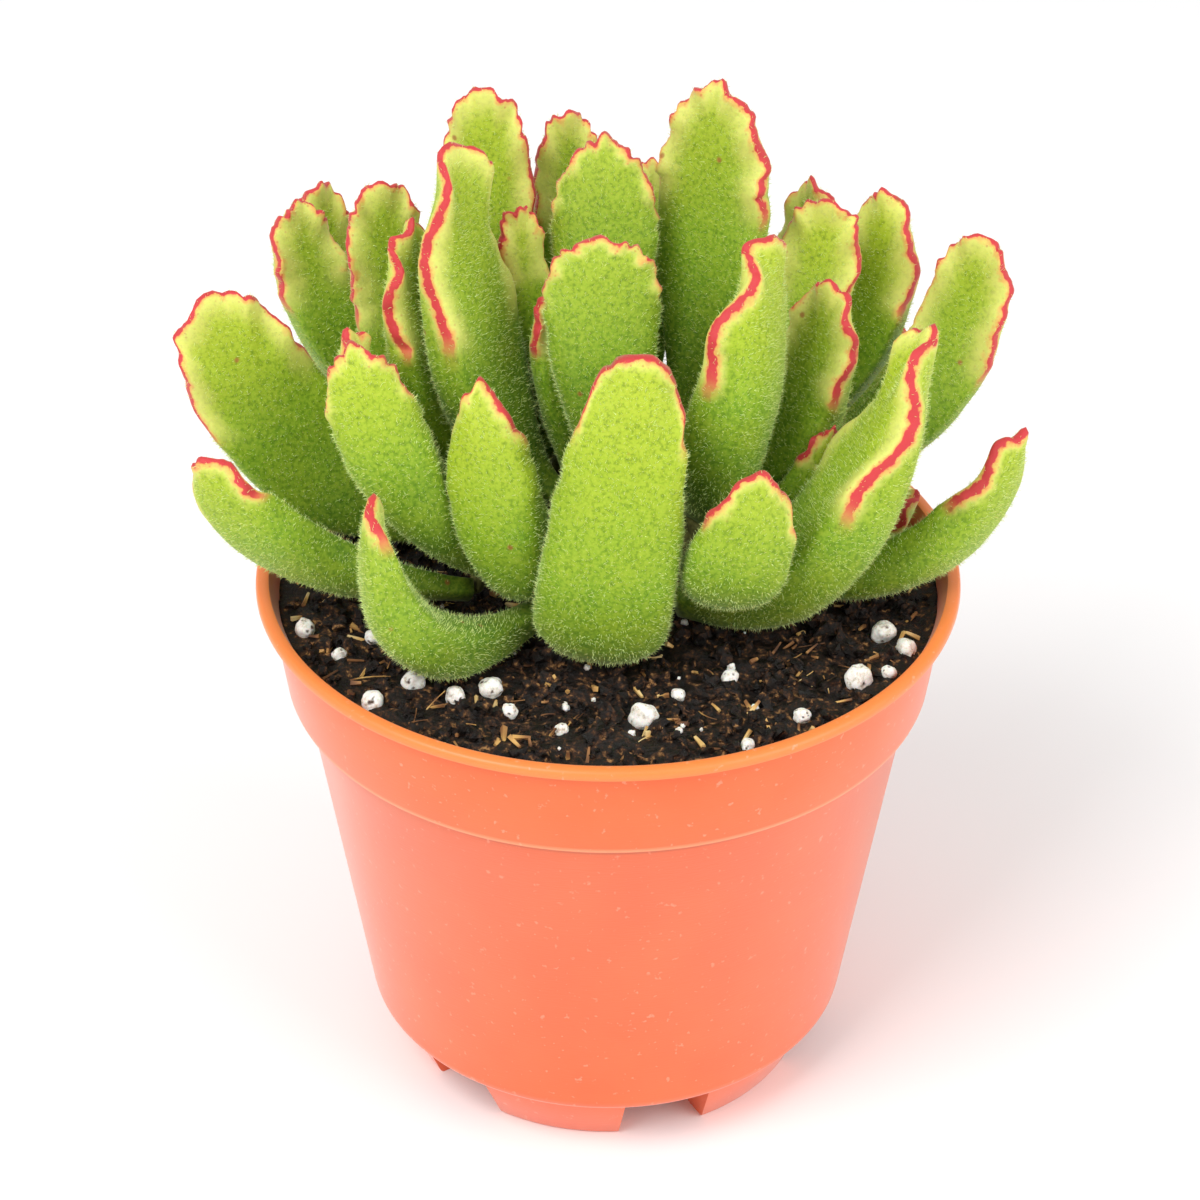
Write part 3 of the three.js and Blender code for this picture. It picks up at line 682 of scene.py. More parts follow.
stem_finish, tree, shader = start_finish("olive_stem", Roughness=0.75)
place = add_node(tree, "ShaderNodeTexCoord").outputs["Object"]
bark = add_node(
    tree,
    "ShaderNodeTexNoise",
    {"Vector": place, "Scale": 1 / (1.6 * MM), "Detail": 5.0, "Roughness": 0.6},
).outputs["Fac"]
olive = add_node(
    tree,
    "ShaderNodeValToRGB",
    {"Fac": bark},
    stops=[(0.3, "#3F3A1C"), (0.5, "#6C6A34"), (0.7, "#8E8A4B")],
).outputs["Color"]
tree.links.new(olive, shader.inputs["Base Color"])
relief = add_node(
    tree,
    "ShaderNodeBump",
    {"Height": bark, "Strength": 0.7, "Distance": 0.4 * MM},
).outputs["Normal"]
tree.links.new(relief, shader.inputs["Normal"])

stem_bm = bmesh.new()
stem_bm.from_mesh(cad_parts["stems"].data)
bmesh.ops.remove_doubles(stem_bm, verts=stem_bm.verts, dist=0.002 * MM)
stems = add_piece("branching_stems", stem_bm, stem_finish)
grown = stems.modifiers.new("grown_together", "REMESH")
grown.mode = "VOXEL"
grown.voxel_size = STEM_VOXEL
softened = stems.modifiers.new("softened", "SMOOTH")
softened.iterations = STEM_SMOOTHING
bpy.context.view_layer.update()
whole = stems.evaluated_get(bpy.context.evaluated_depsgraph_get())
stem_mesh = bpy.data.meshes.new_from_object(whole)
stems.modifiers.clear()
stems.data = stem_mesh
stem_mesh.materials.clear()
stem_mesh.materials.append(stem_finish)
stem_mesh.shade_smooth()
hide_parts("stems")


# The leaves are thick, soft and velvety, channelled inside, round outside, with a waved crimson edge
# round the last third. Each grows from a twig, bends up, and is one piece with its own coat of hairs.
#
# Each row is in millimetres and degrees: name; where the leaf leaves the stem; the point that its
# curve is drawn towards; its tip; full width and thickness; the turn of the blade about its own length
# at the root and at the tip; where along the length it is widest; how blunt the tip is, 2 being an
# ellipse; the number of waves round the edge, their height and where the first one starts; and the
# share of the way to its widest place that stays a narrow neck, where there is one.
LEAVES = [
    ("leaf_front", (-0.5, -8.5, 88), (-3.5, -36, 78), (4.5, -18, 130.5),
     19.6, 9.5, 0, 0, 0.42, 3.2, 7, 1.2, 0.2, 0.45),
    ("leaf_front_left", (-17, -7, 89), (-30.3, -17, 104.5), (-36.2, -9.8, 127),
     12.8, 8.5, -35, -35, 0.7, 2.4, 7, 0.9, 0.7),
    ("leaf_front_left_inner", (-8.7, -7.8, 91.3), (-14.8, -24, 89.8), (-18.4, -11.5, 122.3),
     13.8, 8.5, 0, 0, 0.72, 1.9, 6, 0.8, 0.1),
    ("leaf_low_left", (-10, -13, 85.5), (-31, -36.5, 83.5), (-33.5, -22.5, 110),
     12, 9.5, 20, 36, 0.6, 3, 4, 0.8, 0.5),
    ("leaf_left_low", (-20.5, -7.5, 85.5), (-50, -17, 94), (-57.6, -14, 111.3),
     12, 7, -30, -32, 0.62, 2.7, 5, 0.9, 0.3),
    ("leaf_left_big", (-21, 3, 88.5), (-48, 3.5, 96.8), (-57.4, 1, 129),
     18.6, 8.5, 60, 60, 0.5, 3.4, 9, 1, 0.4),
    ("leaf_left_back", (-21, 15, 90.5), (-45, 23, 106), (-46.5, 27, 131),
     10.8, 8, 45, 45, 0.76, 2.6, 6, 1, 0.9),
    ("leaf_left_back_far", (-16.5, 18.5, 92.5), (-43.5, 34, 91), (-44, 37, 129.5),
     10, 8, 0, 30, 0.76, 2.5, 6, 1, 0.1),
    ("leaf_left_scalloped", (-17, 8.5, 95), (-32, 12.5, 98.8), (-33, 16, 140),
     12, 7.5, 60, 60, 0.78, 3, 8, 1, 0.3),
    ("leaf_left_edge_on", (-14, 4, 96), (-29.7, 3.7, 102.8), (-28.9, 5.2, 139.2),
     11, 7.5, 30, 30, 0.74, 2.6, 7, 1.1, 0.6),
    ("leaf_left_inner", (-17, -3, 92.5), (-36.2, -5.1, 102.9), (-37, -2.7, 125.5),
     11.6, 7.5, 30, 30, 0.7, 2.6, 6, 0.9, 0.8),
    ("leaf_tall_edge_on", (-8, 1, 97), (-22, 1, 108.5), (-21.6, 6, 150.5),
     16, 10, 38, 38, 0.55, 3.2, 5, 1.9, 0.2),
    ("leaf_tall_back", (-8, 13, 97), (-18, 21, 105), (-18.1, 26, 150),
     13.6, 8, 60, 60, 0.72, 3.2, 8, 1.1, 0.5),
    ("leaf_back_middle", (-4, 18, 99), (-6, 29, 109.5), (-6.3, 34, 142.8),
     10.5, 8, 0, 0, 0.76, 2.6, 7, 1, 0.7),
    ("leaf_middle_back", (-0.5, 11, 101.5), (-0.8, 12.5, 118), (-0.8, 20.5, 145),
     15.5, 8, 0, 0, 0.76, 2, 9, 0.9, 0.4),
    ("leaf_middle", (-0.8, 0.6, 101.3), (-0.5, -7, 113.5), (-1.2, 1, 138.5),
     16.5, 8, 0, 0, 0.82, 2.8, 9, 0.9, 0.9),
    ("leaf_tall_right", (11, 10, 98), (15.5, 18.5, 118), (15.7, 23, 152.5),
     18.5, 8, 0, 0, 0.78, 2, 9, 0.9, 0.3),
    ("leaf_right_upright", (12.7, -3.7, 97.4), (15.8, -12, 109), (22.7, -2, 140.5),
     17, 11.8, -64, -64, 0.6, 3.2, 6, 1.6, 0.6),
    ("leaf_front_right_short", (14.3, -9.4, 95.2), (16.9, -30.6, 92.3), (21.4, -23.9, 114.6),
     14.8, 8, 0, 0, 0.52, 2.6, 7, 0.7, 0.1),
    ("leaf_right_big", (10.5, -9, 85), (32, -19.8, 87.2), (44.6, -8.7, 129.7),
     15, 13, -40, -40, 0.6, 2.4, 6, 1.6, 0.8),
    ("leaf_right_low", (18, -1.5, 86.5), (50, -12, 84.5), (59.7, -3, 109.6),
     11, 8, 10, 20, 0.7, 2.4, 5, 0.8, 0.3),
    ("leaf_right_back", (17, 7, 92), (51, 12.6, 94), (54.5, 16, 131.5),
     13.5, 6.6, -45, -45, 0.76, 2.8, 7, 0.8, 0.5),
    ("leaf_right_back_far", (16.5, 15, 94), (42, 23, 100.5), (41.1, 27, 133.5),
     12.5, 8, -40, -40, 0.74, 2.2, 6, 1.2, 0.2),
    ("leaf_right_crested", (16, 11.5, 97), (28.5, 14, 105.5), (32.3, 20, 135),
     12.3, 8, -60, -60, 0.76, 3.6, 7, 1.1, 0.9),
    ("leaf_right_crested_far", (12, 18, 95), (29, 30, 101), (31, 36, 130.5),
     9.6, 8, 0, -20, 0.76, 2.4, 6, 1, 0.4),
    ("leaf_right_inner", (15, 2, 95.5), (28.5, 2, 99.5), (32.3, 5, 129.5),
     14.2, 8, -40, -40, 0.7, 2.6, 7, 0.9, 0.6),
    ("leaf_right_small", (22, 3.5, 88.5), (40, 3, 85), (45.5, 4, 95.2),
     7, 6, 0, 0, 0.7, 2.4, 5, 0.8, 0.4),
    ("leaf_middle_left_thin", (-6.5, 8, 101.5), (-12.6, 12.5, 117), (-13.3, 14.5, 137),
     7.5, 6, 40, 40, 0.72, 2.6, 6, 0.9, 0.2),
    ("leaf_middle_low", (-5, 1.2, 101.5), (-7.6, 5.2, 111.2), (-8, 5.8, 128),
     8, 6, 0, 0, 0.72, 2.6, 5, 0.8, 0.7),
    ("leaf_back_right_thin", (5, 17, 99), (5, 27, 115.5), (6, 34, 134.5),
     10, 7, 0, 0, 0.75, 2.4, 6, 0.9, 0.5),
    ("leaf_right_narrow", (19.2, -4, 92.5), (27.5, -5.05, 98.4), (32.2, -4.7, 111.2),
     5, 2.4, 90, 90, 0.7, 2.2, 5, 0.6, 0.3),
    ("leaf_back_low_left", (-13, 23, 92), (-26, 41, 91), (-30, 42, 115),
     12, 8.5, 0, 0, 0.76, 2.5, 7, 1, 0.5),
    ("leaf_back_low", (-4, 24, 93), (-8, 43, 94), (-9, 44, 119),
     13, 8.5, 0, 0, 0.76, 2.6, 7, 1, 0.2),
    ("leaf_back_low_right", (8, 22, 92.5), (18, 42, 94), (19, 43, 117),
     13, 8.5, 0, 0, 0.76, 2.5, 7, 1, 0.8),
    ("leaf_back_side_right", (17, 16, 89), (42, 32, 88), (46, 35, 105),
     12, 8.5, 0, 0, 0.76, 2.4, 6, 1, 0.3),
    ("leaf_back_side_left", (-20, 18, 87), (-43, 32.5, 87), (-46.5, 36, 101.5),
     11, 8.5, 0, 0, 0.76, 2.4, 6, 1, 0.6),
]

EDGE_STEPS = 144  # round the edge, from the root up one side and down the other
FACE_STEPS = 9  # from the edge in to the middle, on each face
# How far up the leaf the red of the edge starts, where it isn't the usual.
USUAL_RED_FROM = 0.68
RED_FROM = {
    "leaf_front": 0.86,
    "leaf_front_left": 0.78,
    "leaf_front_left_inner": 0.84,
    "leaf_low_left": 0.86,
    "leaf_left_low": 0.74,
    "leaf_front_right_short": 0.76,
    "leaf_middle": 0.8,
    "leaf_middle_back": 0.74,
    "leaf_tall_edge_on": 0.6,
    "leaf_right_upright": 0.62,
    "leaf_right_big": 0.62,
}
APEX_POINTS = 16
SIDE_POINTS = 6
SIDE_CROWDING = 1.6
ROOT_HALF_WIDTH = 2 * MM
EDGE_HALF_THICKNESS = 0.42 * MM
EDGE_ROUND = 0.06  # share of the half width over which the edge is rounded off
EDGE_RAISED = 0.35  # how far the edge stands up along the inner face, in half thicknesses
OUTER_BULGE = 0.9  # how far the outer face stands out past the edge
AXIS_SHARE = 0.55  # how far into the tip the middle line runs
WAVE_FROM = 0.58
WAVE_GROWTH = 0.16
CRINKLE = 0.3 * MM  # the scallops of the outline
CRINKLE_LENGTH = 6.5 * MM
FINE_CRINKLE_SHARE = 0.3
FINE_CRINKLES = 2.4  # fine ones to each broad one
POINT_LENGTH = 1.0 * MM  # the small point at the very tip
FLESH_UNEVENNESS = 0.16 * MM
BARE_BAND = 2.2  # millimetres under the red edge with few hairs
HAIRS_PER_MM2 = 3.1
HAIR_LENGTHS = (0.4 * MM, 0.85 * MM)
HAIR_RADIUS = 0.045 * MM
HAIR_LEAN = 0.45  # towards the tip, against standing straight out
HAIR_DISORDER = 0.34
HAIR_SUNK = 0.03 * MM
BARE_SHARE = 0.2  # of the usual hairs, on the bare band
BARE_STALK = 0.08  # of the leaf's length that has no hairs
TINT_SPREAD = 0.45


def smooth(t):
    """Rises from 0 to 1 with no corner at either end."""
    s = np.clip(t, 0, 1)
    return s * s * (3 - 2 * s)


def leaf_shape(row, phase, level, face):
    """Points on a leaf. Phase runs round its edge, level from the middle out, face is -1 or 1."""
    _, root, elbow, tip, *measures = row
    width, thickness, roll_root, roll_tip, widest, blunt, waves, wave, start, *neck = measures
    neck = neck[0] if neck else 0.0
    root, elbow, tip = (np.array(p) * MM for p in (root, elbow, tip))
    width, thickness, wave = width * MM, thickness * MM, wave * MM
    across = np.cross(elbow - root, tip - elbow)
    across /= np.linalg.norm(across)

    # The edge point: how far up the leaf it is, and how far out.
    last = 2 * SIDE_POINTS + APEX_POINTS
    index = phase * last
    folded = np.minimum(index, last - index)
    on_side = folded < SIDE_POINTS
    share = 1 - (1 - np.clip(folded / SIDE_POINTS, 0, 1)) ** SIDE_CROWDING
    angle = np.pi * np.clip((index - SIDE_POINTS) / APEX_POINTS, 0, 1)
    high = np.clip(np.sin(angle), 0, 1)
    t_edge = np.where(on_side, widest * share, widest + (1 - widest) * high ** (2 / blunt))
    grown = np.maximum(0.0, (share - neck) / (1 - neck))
    widened = smooth(0.75 * grown + 0.25 * np.sqrt(grown))
    side_half = ROOT_HALF_WIDTH + (0.5 * width - ROOT_HALF_WIDTH) * widened
    apex_half = 0.5 * width * np.abs(np.cos(angle)) ** (2 / blunt)
    half_edge = np.where(index < last / 2, 1.0, -1.0) * np.where(on_side, side_half, apex_half)
    t_axis = np.where(on_side, t_edge, widest + (t_edge - widest) * AXIS_SHARE)

    # The section: round at the root, then flat inside, full outside, with the edge standing up.
    flat = smooth((t_edge - 0.2) / 0.4)
    is_inner = face < 0
    bulge = np.where(is_inner, 0.0, OUTER_BULGE * flat * np.where(on_side, 1.0, np.abs(np.cos(angle))))
    spread = level + bulge * level * (1 - level)
    at = t_axis + (t_edge - t_axis) * spread
    full = 0.5 * thickness * (0.45 + 0.55 * smooth(at / 0.4)) * (1 - 0.6 * smooth((at - 0.58) / 0.42))
    rim = EDGE_HALF_THICKNESS + 0.3 * full * (1 - smooth(t_edge / 0.6))
    depth = rim + (np.where(is_inner, 0.85, 1.15) * full - 0.1 * flat * full - rim) * np.sqrt(1 - level**2)
    near = np.clip((1 - level) / EDGE_ROUND, 0, 1)
    depth = depth * np.sqrt(1 - (1 - near) ** 2)
    raised = EDGE_RAISED * flat * full * level**2

    # Waves lift the edge, finer scallops draw it out, and a small point stands at the very tip.
    waved = smooth((t_edge - WAVE_FROM) / WAVE_GROWTH)
    beat = 2 * np.pi * (waves * phase + start)
    lift = level**3.4 * np.sin(beat) * waved * wave
    rim_length = 2 * (tip[2] - root[2]) + width
    ripple = 2 * np.pi * (phase * rim_length / CRINKLE_LENGTH + 3 * start)
    broad = np.sin(ripple + 1.4 * np.sin(0.37 * ripple))
    fine = np.sin(FINE_CRINKLES * ripple + 1.1 * np.sin(0.61 * ripple))
    outward = level**6 * CRINKLE * waved * (broad + FINE_CRINKLE_SHARE * fine)
    outward = outward + level**7 * POINT_LENGTH * np.exp(-(((phase - 0.5) / 0.016) ** 2))

    t = at[:, None]
    point = (1 - t) ** 2 * root + 2 * t * (1 - t) * elbow + t**2 * tip
    along = (1 - t) * (elbow - root) + t * (tip - elbow)
    along /= np.linalg.norm(along, axis=1)[:, None]
    inward = np.cross(across, along)
    roll = np.radians(roll_root + (roll_tip - roll_root) * smooth(t))
    side = across * np.cos(roll) + inward * np.sin(roll)
    facing = inward * np.cos(roll) - across * np.sin(roll)
    made = point + side * (half_edge * spread + np.cos(angle) * outward)[:, None]
    made = made + along * (high * outward)[:, None]
    made = made + facing * (lift + raised - face * depth)[:, None]
    return made, t_edge, at


def leaf_mesh(row, tint):
    """A leaf's closed blade, with its distance from the edge and its place along the leaf stored."""
    bm = bmesh.new()
    bmesh.ops.create_grid(bm, x_segments=EDGE_STEPS, y_segments=2 * FACE_STEPS, size=0.5)
    flat = np.array([v.co for v in bm.verts])
    phase = flat[:, 0] + 0.5
    inset = np.abs(flat[:, 1]) * 2
    level = 1 - inset**1.5
    face = np.where(flat[:, 1] < 0, -1.0, 1.0)
    made, t_edge, t_here = leaf_shape(row, phase, level, face)
    edge, _, _ = leaf_shape(row, phase, np.ones_like(level), face)
    from_edge = np.linalg.norm(made - edge, axis=1) / MM
    crown = smooth((t_edge - RED_FROM.get(row[0], USUAL_RED_FROM)) / 0.08)
    margin_layer = bm.verts.layers.float.new("margin")
    reach_layer = bm.verts.layers.float.new("reach")
    crown_layer = bm.verts.layers.float.new("crown")
    tint_layer = bm.verts.layers.float.new("tint")
    inner_layer = bm.verts.layers.float.new("inner")
    offset = Vector((tint * 90, 0, 0))
    for number, v in enumerate(bm.verts):
        at = Vector(made[number])
        uneven = noise.noise(at / (5 * MM) + offset) + 0.4 * noise.noise(at / (2 * MM) + offset)
        v.co = at
        v[margin_layer] = from_edge[number]
        v[reach_layer] = t_here[number]
        v[crown_layer] = crown[number]
        v[tint_layer] = tint
        v[inner_layer] = 1.0 if face[number] < 0 else 0.0
        v.co.z += FLESH_UNEVENNESS * uneven * min(1.0, from_edge[number] / 2)
    bmesh.ops.remove_doubles(bm, verts=bm.verts, dist=0.003 * MM)
    bmesh.ops.holes_fill(bm, edges=[e for e in bm.edges if e.is_boundary], sides=0)
    bmesh.ops.recalc_face_normals(bm, faces=bm.faces)
    return bm


# Living leaf under short velvet: soft green flesh that light enters, yellower towards the tip and darker
# towards the root, the dark root partly painted shade of the crowded clump, pale under the edge, the
# edge itself crimson, with dark red flecks beside it and a few brown scars.
leaf_finish, tree, shader = start_finish(
    "velvet_leaf",
    Roughness=0.6,
    IOR=1.4,
    Subsurface_Weight=0.2,
    Subsurface_Scale=1.4 * MM,
    Sheen_Weight=0.3,
    Sheen_Roughness=0.4,
)
shader.inputs["Subsurface Radius"].default_value = (0.6, 1.0, 0.25)
shader.inputs["Sheen Tint"].default_value = linear("#EAF5C8")
place = add_node(tree, "ShaderNodeTexCoord").outputs["Object"]
margin = add_node(tree, "ShaderNodeAttribute", attribute_name="margin").outputs["Fac"]
reach = add_node(tree, "ShaderNodeAttribute", attribute_name="reach").outputs["Fac"]
crown = add_node(tree, "ShaderNodeAttribute", attribute_name="crown").outputs["Fac"]
tint = add_node(tree, "ShaderNodeAttribute", attribute_name="tint").outputs["Fac"]
inner = add_node(tree, "ShaderNodeAttribute", attribute_name="inner").outputs["Fac"]
# Yellower towards the tip and darker towards the root; the dark root is partly painted shade of the clump.
green = add_node(
    tree,
    "ShaderNodeValToRGB",
    {"Fac": reach},
    stops=[(0.0, "#4C6C14"), (0.3, "#587F10"), (0.62, "#749C10"), (0.85, "#9CB41C"), (1.0, "#B8C830")],
).outputs["Color"]
broad = add_node(
    tree,
    "ShaderNodeTexNoise",
    {"Vector": place, "Scale": 1 / (7 * MM), "Detail": 3.0},
).outputs["Fac"]
broad_step = add_node(
    tree,
    "ShaderNodeMapRange",
    {"Value": broad, "From Min": 0.4, "From Max": 0.68, "To Min": 0.0, "To Max": 0.35},
).outputs["Result"]
clouded = add_node(
    tree,
    "ShaderNodeMix",
    {0: broad_step, 6: green, 7: linear("#A0B41C")},
    data_type="RGBA",
).outputs[2]
tinted = add_node(
    tree,
    "ShaderNodeMix",
    {0: tint, 6: clouded, 7: linear("#5A861C")},
    data_type="RGBA",
).outputs[2]
speckle = add_node(
    tree,
    "ShaderNodeTexNoise",
    {"Vector": place, "Scale": 1 / (0.6 * MM), "Detail": 3.0, "Roughness": 0.65},
).outputs["Fac"]
hollow_step = add_node(
    tree,
    "ShaderNodeMapRange",
    {"Value": speckle, "From Min": 0.3, "From Max": 0.5, "To Min": 0.5, "To Max": 0.0},
).outputs["Result"]
hollowed = add_node(
    tree,
    "ShaderNodeMix",
    {0: hollow_step, 6: tinted, 7: linear("#40640A")},
    data_type="RGBA",
).outputs[2]
speckle_step = add_node(
    tree,
    "ShaderNodeMapRange",
    {"Value": speckle, "From Min": 0.42, "From Max": 0.72, "To Min": 0.0, "To Max": 0.4},
).outputs["Result"]
velvety = add_node(
    tree,
    "ShaderNodeMix",
    {0: speckle_step, 6: hollowed, 7: linear("#BCCB46")},
    data_type="RGBA",
).outputs[2]
# Pale yellow flesh under the crown's edge, wider on the inner face.
ragged = add_node(
    tree,
    "ShaderNodeTexNoise",
    {"Vector": place, "Scale": 1 / (1.5 * MM), "Detail": 3.0},
).outputs["Fac"]
ragged_mm = add_node(
    tree,
    "ShaderNodeMapRange",
    {"Value": ragged, "From Min": 0.25, "From Max": 0.75, "To Min": -0.55, "To Max": 0.55},
).outputs["Result"]
inner_mm = add_node(tree, "ShaderNodeMath", {0: inner, 1: 0.45}, operation="MULTIPLY").outputs[0]
face_mm = add_node(tree, "ShaderNodeMath", {0: margin, 1: inner_mm}, operation="ADD").outputs[0]
edge_mm = add_node(tree, "ShaderNodeMath", {0: face_mm, 1: ragged_mm}, operation="ADD").outputs[0]
pale_reach = add_node(
    tree,
    "ShaderNodeMapRange",
    {"Value": inner, "From Min": 0.0, "From Max": 1.0, "To Min": 3.0, "To Max": 6.0},
).outputs["Result"]
pale_fall = add_node(
    tree,
    "ShaderNodeMapRange",
    {"Value": edge_mm, "From Min": 0.9, "From Max": pale_reach, "To Min": 0.75, "To Max": 0.0},
    interpolation_type="SMOOTHSTEP",
).outputs["Result"]
pale_share = add_node(
    tree,
    "ShaderNodeMath",
    {0: pale_fall, 1: crown},
    operation="MULTIPLY",
).outputs[0]
pale = add_node(
    tree,
    "ShaderNodeMix",
    {0: pale_share, 6: velvety, 7: linear("#E4E07C")},
    data_type="RGBA",
).outputs[2]
# Flecks of dark red beside the edge.
cells = add_node(
    tree,
    "ShaderNodeTexVoronoi",
    {"Vector": place, "Scale": 1 / (1.0 * MM)},
).outputs["Distance"]
fleck = add_node(
    tree,
    "ShaderNodeMapRange",
    {"Value": cells, "From Min": 0.1, "From Max": 0.24, "To Min": 1.0, "To Max": 0.0},
).outputs["Result"]
fleck_band = add_node(
    tree,
    "ShaderNodeMapRange",
    {"Value": edge_mm, "From Min": 0.7, "From Max": 2.8, "To Min": 0.85, "To Max": 0.0},
).outputs["Result"]
fleck_near = add_node(
    tree,
    "ShaderNodeMath",
    {0: fleck, 1: fleck_band},
    operation="MULTIPLY",
).outputs[0]
fleck_share = add_node(
    tree,
    "ShaderNodeMath",
    {0: fleck_near, 1: crown},
    operation="MULTIPLY",
).outputs[0]
flecked = add_node(
    tree,
    "ShaderNodeMix",
    {0: fleck_share, 6: pale, 7: linear("#B03A34")},
    data_type="RGBA",
).outputs[2]
# The crimson edge with its orange border.
orange_fall = add_node(
    tree,
    "ShaderNodeMapRange",
    {"Value": edge_mm, "From Min": 0.8, "From Max": 1.9, "To Min": 0.8, "To Max": 0.0},
    interpolation_type="SMOOTHSTEP",
).outputs["Result"]
orange_share = add_node(
    tree,
    "ShaderNodeMath",
    {0: orange_fall, 1: crown},
    operation="MULTIPLY",
).outputs[0]
bordered = add_node(
    tree,
    "ShaderNodeMix",
    {0: orange_share, 6: flecked, 7: linear("#E08A4E")},
    data_type="RGBA",
).outputs[2]
crimson_fall = add_node(
    tree,
    "ShaderNodeMapRange",
    {"Value": edge_mm, "From Min": 0.75, "From Max": 1.05, "To Min": 1.0, "To Max": 0.0},
    interpolation_type="SMOOTHSTEP",
).outputs["Result"]
crimson_share = add_node(
    tree,
    "ShaderNodeMath",
    {0: crimson_fall, 1: crown},
    operation="MULTIPLY",
).outputs[0]
crimson = add_node(
    tree,
    "ShaderNodeMix",
    {0: crimson_share, 6: bordered, 7: linear("#C63A3E")},
    data_type="RGBA",
).outputs[2]
# Rusty scars, few and far between.
scars = add_node(
    tree,
    "ShaderNodeTexVoronoi",
    {"Vector": place, "Scale": 1 / (7.5 * MM)},
).outputs["Distance"]
scar_share = add_node(
    tree,
    "ShaderNodeMapRange",
    {"Value": scars, "From Min": 0.035, "From Max": 0.075, "To Min": 0.8, "To Max": 0.0},
).outputs["Result"]
scarred = add_node(
    tree,
    "ShaderNodeMix",
    {0: scar_share, 6: crimson, 7: linear("#9A5A2C")},
    data_type="RGBA",
).outputs[2]
tree.links.new(scarred, shader.inputs["Base Color"])
nap = add_node(
    tree,
    "ShaderNodeTexNoise",
    {"Vector": place, "Scale": 1 / (0.45 * MM), "Detail": 3.0, "Roughness": 0.6},
).outputs["Fac"]
relief = add_node(
    tree,
    "ShaderNodeBump",
    {"Height": nap, "Strength": 0.45, "Distance": 0.16 * MM},
).outputs["Normal"]
tree.links.new(relief, shader.inputs["Normal"])

# The hairs are clear, under a millimetre long and finer than a render shows, so they are drawn
# thicker and fewer than they grow, in a pale yellow green, as the leaf's light comes through them.
hair_finish, tree, shader = start_finish(
    "white_leaf_hair", Roughness=0.5, Subsurface_Weight=0.2, Subsurface_Scale=0.3 * MM
)
shader.inputs["Base Color"].default_value = linear("#DCE894")


def hair_template():
    """One three-sided hair, one unit long and one unit in radius, standing on its root."""
    bm = bmesh.new()
    bmesh.ops.create_cone(
        bm,
        segments=3,
        radius1=1,
        radius2=0,
        depth=1,
        cap_ends=True,
        matrix=Matrix.Translation((0, 0, 0.5)),
    )
    bmesh.ops.remove_doubles(bm, verts=bm.verts, dist=0.001)
    mesh = bpy.data.meshes.new("hair")
    bm.to_mesh(mesh)
    bm.free()
    return mesh


def hair_places(blade, up_the_leaf):
    """Where hairs root on a blade: spread evenly by area, standing out and leaning to the tip."""
    blade.calc_loop_triangles()
    corners = np.zeros(len(blade.loop_triangles) * 3, np.int32)
    blade.loop_triangles.foreach_get("vertices", corners)
    points = np.zeros(len(blade.vertices) * 3)
    blade.vertices.foreach_get("co", points)
    tri = points.reshape(-1, 3)[corners.reshape(-1, 3)]
    reach_at = np.zeros(len(blade.vertices))
    blade.attributes["reach"].data.foreach_get("value", reach_at)
    bare = np.zeros(len(blade.vertices))
    blade.attributes["margin"].data.foreach_get("value", bare)
    red = np.zeros(len(blade.vertices))
    blade.attributes["crown"].data.foreach_get("value", red)
    bare = (red > 0.5) & (bare < BARE_BAND)
    above_stalk = reach_at[corners.reshape(-1, 3)].mean(axis=1) > BARE_STALK
    covered = above_stalk * np.where(bare[corners.reshape(-1, 3)].any(axis=1), BARE_SHARE, 1.0)
    normal = np.cross(tri[:, 1] - tri[:, 0], tri[:, 2] - tri[:, 0])
    area = 0.5 * np.linalg.norm(normal, axis=1)
    normal /= np.maximum(2 * area, 1e-15)[:, None]
    weight = area * covered
    count = int(weight.sum() / MM**2 * HAIRS_PER_MM2)
    chosen = draw.choice(len(weight), count, p=weight / weight.sum())
    a, b = draw.random((2, count))
    over = a + b > 1
    a[over], b[over] = 1 - a[over], 1 - b[over]
    corner = tri[chosen]
    first, second, third = corner[:, 0], corner[:, 1], corner[:, 2]
    roots = first + a[:, None] * (second - first) + b[:, None] * (third - first)
    lean = normal[chosen] + HAIR_LEAN * up_the_leaf + HAIR_DISORDER * draw.normal(size=(count, 3))
    lean /= np.linalg.norm(lean, axis=1)[:, None]
    other = np.cross(lean, draw.normal(size=lean.shape))
    other /= np.linalg.norm(other, axis=1)[:, None]
    places = np.zeros((count, 4, 4))
    places[:, :3, 0] = other * HAIR_RADIUS
    places[:, :3, 1] = np.cross(lean, other) * HAIR_RADIUS
    places[:, :3, 2] = lean * draw.uniform(*HAIR_LENGTHS, (count, 1))
    places[:, :3, 3] = roots - lean * HAIR_SUNK
    places[:, 3, 3] = 1
    return places


one_hair = hair_template()
for number, row in enumerate(LEAVES):
    name, _, elbow_end, tip_end = row[:4]
    leaf_tint = TINT_SPREAD * draw.random()
    blade = add_piece("velvet_" + name, leaf_mesh(row, leaf_tint), leaf_finish)
    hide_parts(name)
    up_the_leaf = np.array(tip_end) - np.array(elbow_end)
    up_the_leaf = up_the_leaf / np.linalg.norm(up_the_leaf)
    coat = scattered("coat", one_hair, hair_places(blade.data, up_the_leaf))
    joined("hairs_" + name, [coat], hair_finish, smooth=False)


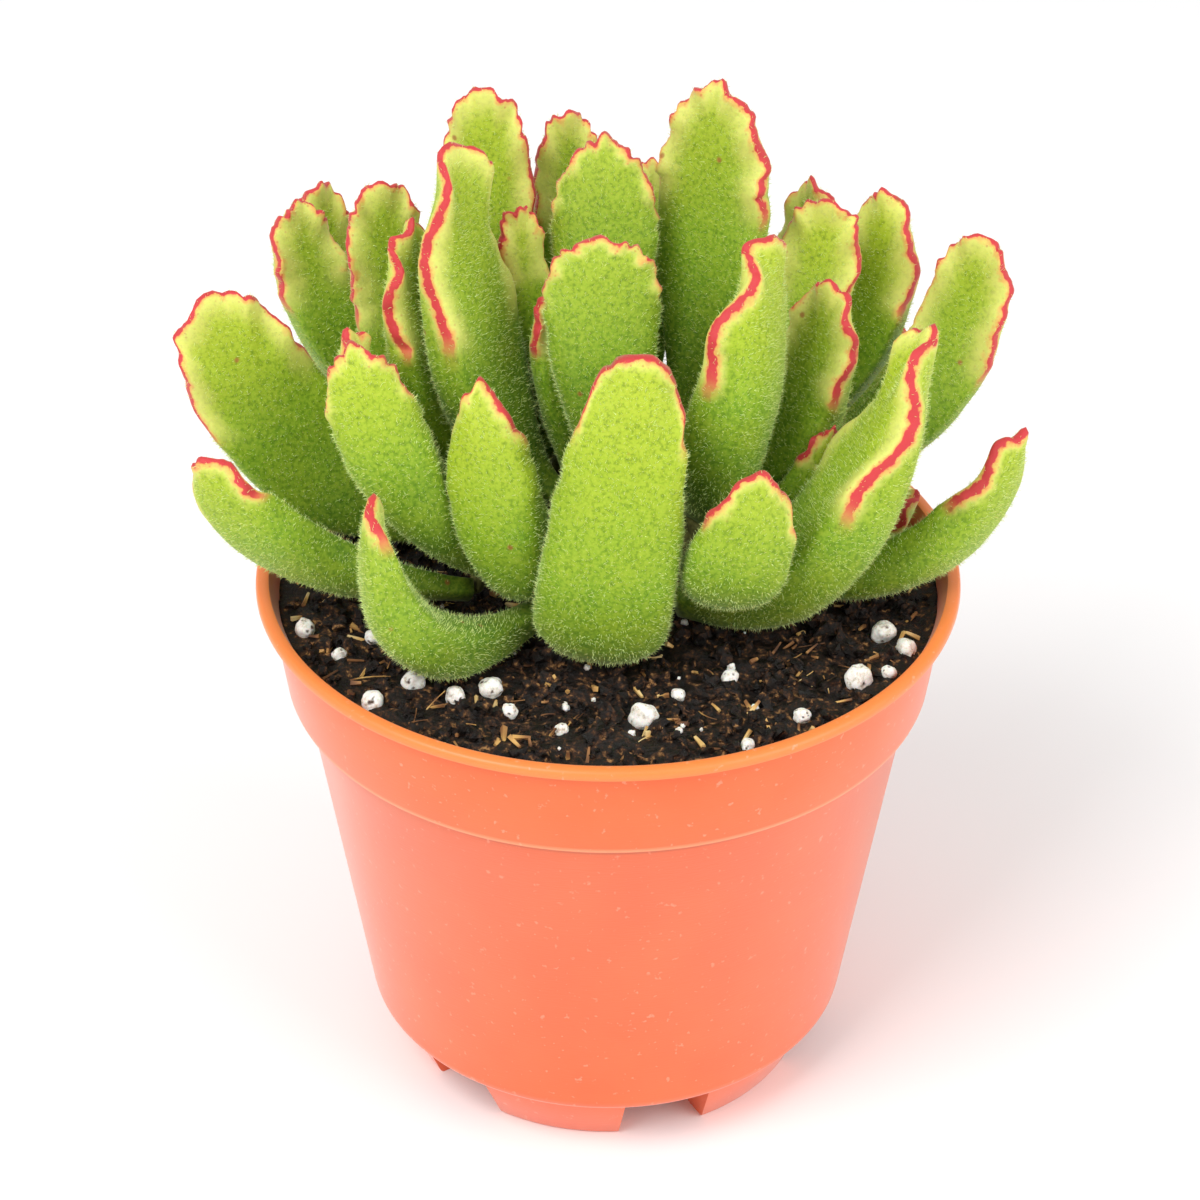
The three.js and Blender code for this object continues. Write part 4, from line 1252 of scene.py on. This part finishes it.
# The studio: a plain white sweep, an even white surround, a large soft light above on the left, and
# a weaker one on the right. The camera looks down at the plant from the front.
FLOOR_SIZE = 6.0
CAMERA_DISTANCE = 520 * MM
CAMERA_ELEVATION = 33.6
CAMERA_ROLL = 0.18
CAMERA_TARGET = Vector((-1.2 * MM, 0, 78.6 * MM))
SENSOR = 36.0
IMAGE_SIZE = 1200
FOCAL_PIXELS = 3460
SURROUND_STRENGTH = 0.68

floor_finish, tree, shader = start_finish("white_sweep", Roughness=0.9)
shader.inputs["Base Color"].default_value = linear("#F7F7F7")
floor_bm = bmesh.new()
bmesh.ops.create_grid(floor_bm, x_segments=1, y_segments=1, size=FLOOR_SIZE / 2)
floor_mesh = bpy.data.meshes.new("floor")
floor_bm.to_mesh(floor_mesh)
floor_bm.free()
floor_mesh.materials.append(floor_finish)
floor = bpy.data.objects.new("floor", floor_mesh)
bpy.context.scene.collection.objects.link(floor)

surround = bpy.data.worlds.new("surround")
surround.use_nodes = True
surround.node_tree.nodes["Background"].inputs["Color"].default_value = linear("#FFFFFF")
surround.node_tree.nodes["Background"].inputs["Strength"].default_value = SURROUND_STRENGTH
bpy.context.scene.world = surround


def soft_light(name, place, size, power):
    """A square area light that looks at the middle of the plant."""
    lamp = bpy.data.lights.new(name, "AREA")
    lamp.shape = "SQUARE"
    lamp.size = size
    lamp.energy = power
    light = bpy.data.objects.new(name, lamp)
    light.location = place
    light.rotation_euler = (CAMERA_TARGET - Vector(place)).to_track_quat("-Z", "Y").to_euler()
    bpy.context.scene.collection.objects.link(light)


soft_light("key_light", (-0.55, -0.55, 0.95), 0.7, 10.0)
soft_light("fill_light", (0.8, -0.5, 0.6), 0.8, 5.5)

elevation = math.radians(CAMERA_ELEVATION)
back = Vector((0, -math.cos(elevation), math.sin(elevation)))
lens = bpy.data.cameras.new("camera")
lens.sensor_width = SENSOR
lens.lens = FOCAL_PIXELS / IMAGE_SIZE * SENSOR
lens.clip_start = 0.01
lens.clip_end = 20
camera = bpy.data.objects.new("camera", lens)
turn = Matrix.Rotation(math.pi / 2 - elevation, 4, "X") @ Matrix.Rotation(math.radians(CAMERA_ROLL), 4, "Z")
camera.matrix_world = Matrix.Translation(CAMERA_TARGET + back * CAMERA_DISTANCE) @ turn
bpy.context.scene.collection.objects.link(camera)
bpy.context.scene.camera = camera
bpy.context.scene.view_settings.view_transform = "Standard"
